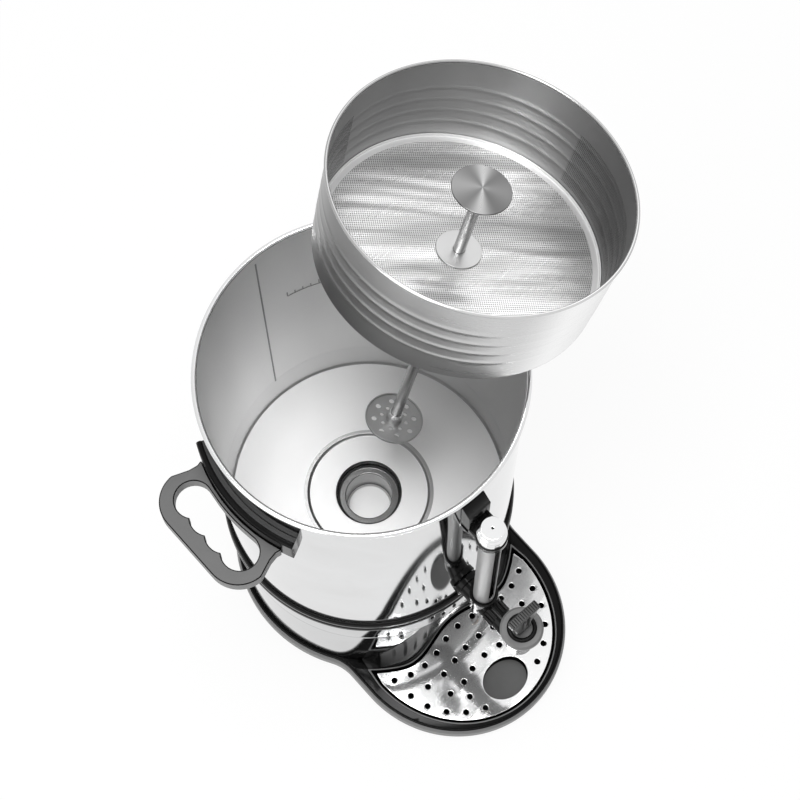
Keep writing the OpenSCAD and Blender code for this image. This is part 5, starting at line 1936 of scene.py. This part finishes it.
    def make_spreader(self) -> None:
        """Makes the turned spreader disc."""
        z = self.crown - 6
        profile = [
            (0, z + 4), (4.4, z + 4), (4.6, z), (6.5, z), (6.5, z + 3), (20.4, z + 3.6), (22.4, z + 4.8),
            (22.2, z + 5.8), (6, z + 7.9), (0, z + 8.2),
        ]
        shape = Shape(planar=True).turn(soften(profile, 0.5), 128)
        self.put("spreader_disc", shape, (Finish.TURNED_DISC,), "spreader", "satin_steel", "pump")

    def make_foot(self) -> None:
        """Makes the perforated pump foot with its boss."""
        z, bore = self.foot, 4.52
        holes = [circle(bore)]
        for i in range(8):
            for radius, ring, share, sides in ((2.2, 16.7, 0.0, 20), (1.6, 10.5, 0.5, 16)):
                turn = math.tau * (i + share) / 8
                holes.append(circle(radius, (ring * math.cos(turn), ring * math.sin(turn)), sides))
        shape = Shape().slab(circle(self.foot_r, sides=96), z, z + 1.2, holes, edge=0.3, steps=2)
        shape.turn(soften(box(self.foot_r - 1.2, self.foot_r, z + 0.6, z + 2.4), 0.4), 96)
        shape.turn(soften(box(bore, 6.5, z + 0.2, z + 7), 0.5), 64)
        self.put("foot_sieve", shape, (Finish.FOOT_STEEL,), "pump_foot", "satin_steel", "pump")


# ---------------------------------------------------------------------------
# Parts that keep their own solids
# ---------------------------------------------------------------------------


@dataclass
class Works:
    """Heating, switching, valve and fastening parts, which keep their solids and get a finish.

    Attributes:
        metal: Nodes of metal by finish.
        moulded: Nodes of plastic, rubber, silicone and glass by finish.
    """

    metal: tuple[tuple[Finish, tuple[str, ...]], ...] = (
        (Finish.SATIN_PRESSED, ("bottom_cover",)),
        (Finish.PLAIN_STEEL, ("cover_screws", "grip_screws", "tap_shank", "shank_nut", "lever_pin")),
        (Finish.PLAIN_STEEL, ("valve_stem", "heater_clamp")),
        (Finish.HEATER_SHEATH, ("boil_heater", "warm_heater")),
    )
    moulded: tuple[tuple[Finish, tuple[str, ...]], ...] = (
        (Finish.STRIPE_BLACK, ("switch_housing", "cord_gland")),
        (Finish.FOOT_RUBBER, ("rubber_feet",)),
        (Finish.SILICONE, ("column_seals", "shank_seals", "seat_cup")),
        (Finish.PHENOLIC, ("thermostat", "thermal_cutout")),
        (Finish.TERMINAL_WHITE, ("terminal_block",)),
        (Finish.WIRE_SLEEVE, ("wiring",)),
        (Finish.ROCKER_GLOSS, ("rocker",)),
        (Finish.LAMP_AMBER, ("pilot_lamps",)),
        (Finish.CLEAR_GLASS, ("sight_glass",)),
    )

    def build(self) -> None:
        """Dresses them."""
        for finish, nodes in self.metal + self.moulded:
            for node in nodes:
                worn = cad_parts[node].data.materials
                worn.clear()
                worn.append(material(finish))
                LOG.info("%s dressed in %s", node, finish.value.name)


# ---------------------------------------------------------------------------
# Studio
# ---------------------------------------------------------------------------


WHITE = (1.0, 1.0, 1.0, 1.0)
Source = tuple[str, dict[str, object]]


@dataclass
class Studio:
    """Floor, light and camera. Places are in metres.

    Attributes:
        eye: Where the camera stands.
        look: The way it looks.
        up: The picture's upward direction.
        focal: Focal length in pixels of the picture.
        picture: Width of the picture in pixels.
        sensor: Width of the camera's sensor, in millimetres.
        floor: Half width of the floor.
        aim: Where the lamps point.
        lamps: Name, place, size and power in watts of each lamp.
    """

    eye: Triple = (-0.330257, -0.422710, 2.024949)
    look: Triple = (0.20568, 0.23676, -0.94955)
    up: Triple = (0.63206, 0.70863, 0.31360)
    focal: float = 2254.36
    picture: float = 800.0
    sensor: float = 36.0
    floor: float = 6.0
    aim: Triple = (0.0, 0.0, 0.25)
    lamps: tuple[tuple[str, Triple, float, float], ...] = (
        ("KeyBox", (-0.1, -0.06, 2.2), 0.7, 21.0),
        ("FillBox", (-1.6, -0.2, 1.0), 1.2, 12.0),
        ("BackBox", (1.4, 0.9, 1.5), 1.2, 5.0),
    )

    def build(self) -> None:
        """Makes the whole studio."""
        self.make_camera()
        self.make_floor()
        self.make_world()
        self.make_lamps()

    def add(self, name: str, data: bpy.types.ID) -> bpy.types.Object:
        """Puts an object into the scene.

        Args:
            name: Its name.
            data: Its mesh, camera or lamp.

        Returns:
            The object.
        """
        made = bpy.data.objects.new(name, data)
        bpy.context.scene.collection.objects.link(made)
        return made

    def make_camera(self) -> None:
        """Makes the camera and sets it as the scene's."""
        lens = bpy.data.cameras.new("Camera")
        lens.sensor_width = self.sensor
        lens.lens = self.focal * self.sensor / self.picture
        lens.clip_end = 50.0
        eye = self.add("Camera", lens)
        back = -Vector(self.look).normalized()
        right = Vector(self.up).normalized().cross(back)
        turn = Matrix((right, back.cross(right), back)).transposed().to_4x4()
        eye.matrix_world = Matrix.Translation(self.eye) @ turn
        bpy.context.scene.camera = eye

    def wire(
        self, owner: bpy.types.ID, end: str, rays: Sequence[str], share: float, plain: Source, white: Source
    ) -> None:
        """Wires a floor or world that looks white to some rays and lights the rest plainly.

        Args:
            owner: The material or world.
            end: Type of its output node.
            rays: Kinds of ray that see the white.
            share: How white it is to them.
            plain: The node for the other rays.
            white: The node for those rays.
        """
        owner.use_nodes = True
        wiring = Wiring(owner.node_tree)
        wiring.tree.nodes.clear()
        seen, path = 0.0, wiring.node("ShaderNodeLightPath").outputs
        for ray in rays:
            seen = wiring.math("MAXIMUM", seen, path[f"Is {ray} Ray"])
        factor = wiring.math("MULTIPLY", seen, share)
        inputs = {0: factor, 1: wiring.node(*plain).outputs[0], 2: wiring.node(*white).outputs[0]}
        wiring.node(end, {"Surface": wiring.node("ShaderNodeMixShader", inputs).outputs[0]})

    def make_floor(self) -> None:
        """Makes the pale floor, which keeps a faint shadow."""
        mesh = bpy.data.meshes.new("Floor")
        corners = lifted(box(-self.floor, self.floor, -self.floor, self.floor), 0.0)
        mesh.from_pydata(corners, [], [(0, 1, 2, 3)])
        floor = self.add("Floor", mesh)
        paint = bpy.data.materials.new("PaleFloor")
        dull = ("ShaderNodeBsdfDiffuse", {"Color": (*grey(0.95), 1.0)})
        white = ("ShaderNodeEmission", {"Color": WHITE})
        self.wire(paint, "ShaderNodeOutputMaterial", ("Camera", "Glossy"), 0.9, dull, white)
        mesh.materials.append(paint)

    def make_world(self) -> None:
        """Makes the world: white where it is seen or mirrored, plain light elsewhere."""
        world = bpy.data.worlds.new("Studio")
        bpy.context.scene.world = world
        plain = ("ShaderNodeBackground", {"Color": WHITE, "Strength": 0.5})
        white = ("ShaderNodeBackground", {"Color": WHITE, "Strength": 1.0})
        self.wire(world, "ShaderNodeOutputWorld", ("Camera", "Glossy", "Transmission"), 1.0, plain, white)

    def make_lamps(self) -> None:
        """Hangs the soft boxes round the urn."""
        for name, place, size, power in self.lamps:
            lamp = bpy.data.lights.new(name, "AREA")
            lamp.size = size
            lamp.energy = power
            hung = self.add(name, lamp)
            hung.rotation_euler = (Vector(self.aim) - Vector(place)).to_track_quat("-Z", "Y").to_euler()
            hung.location = place


def main() -> None:
    """Builds the studio and every assembly of the urn, in order."""
    logging.basicConfig(level=logging.INFO, format="%(name)s: %(message)s")
    bpy.context.scene.view_settings.view_transform = "Standard"
    for assembly in (Studio(), Vessel(), Housing(), Handles(), SightColumn(), Tap(), Filter(), Works()):
        assembly.build()
        LOG.info("%s done", type(assembly).__name__)


if __name__ == "__main__":
    main()
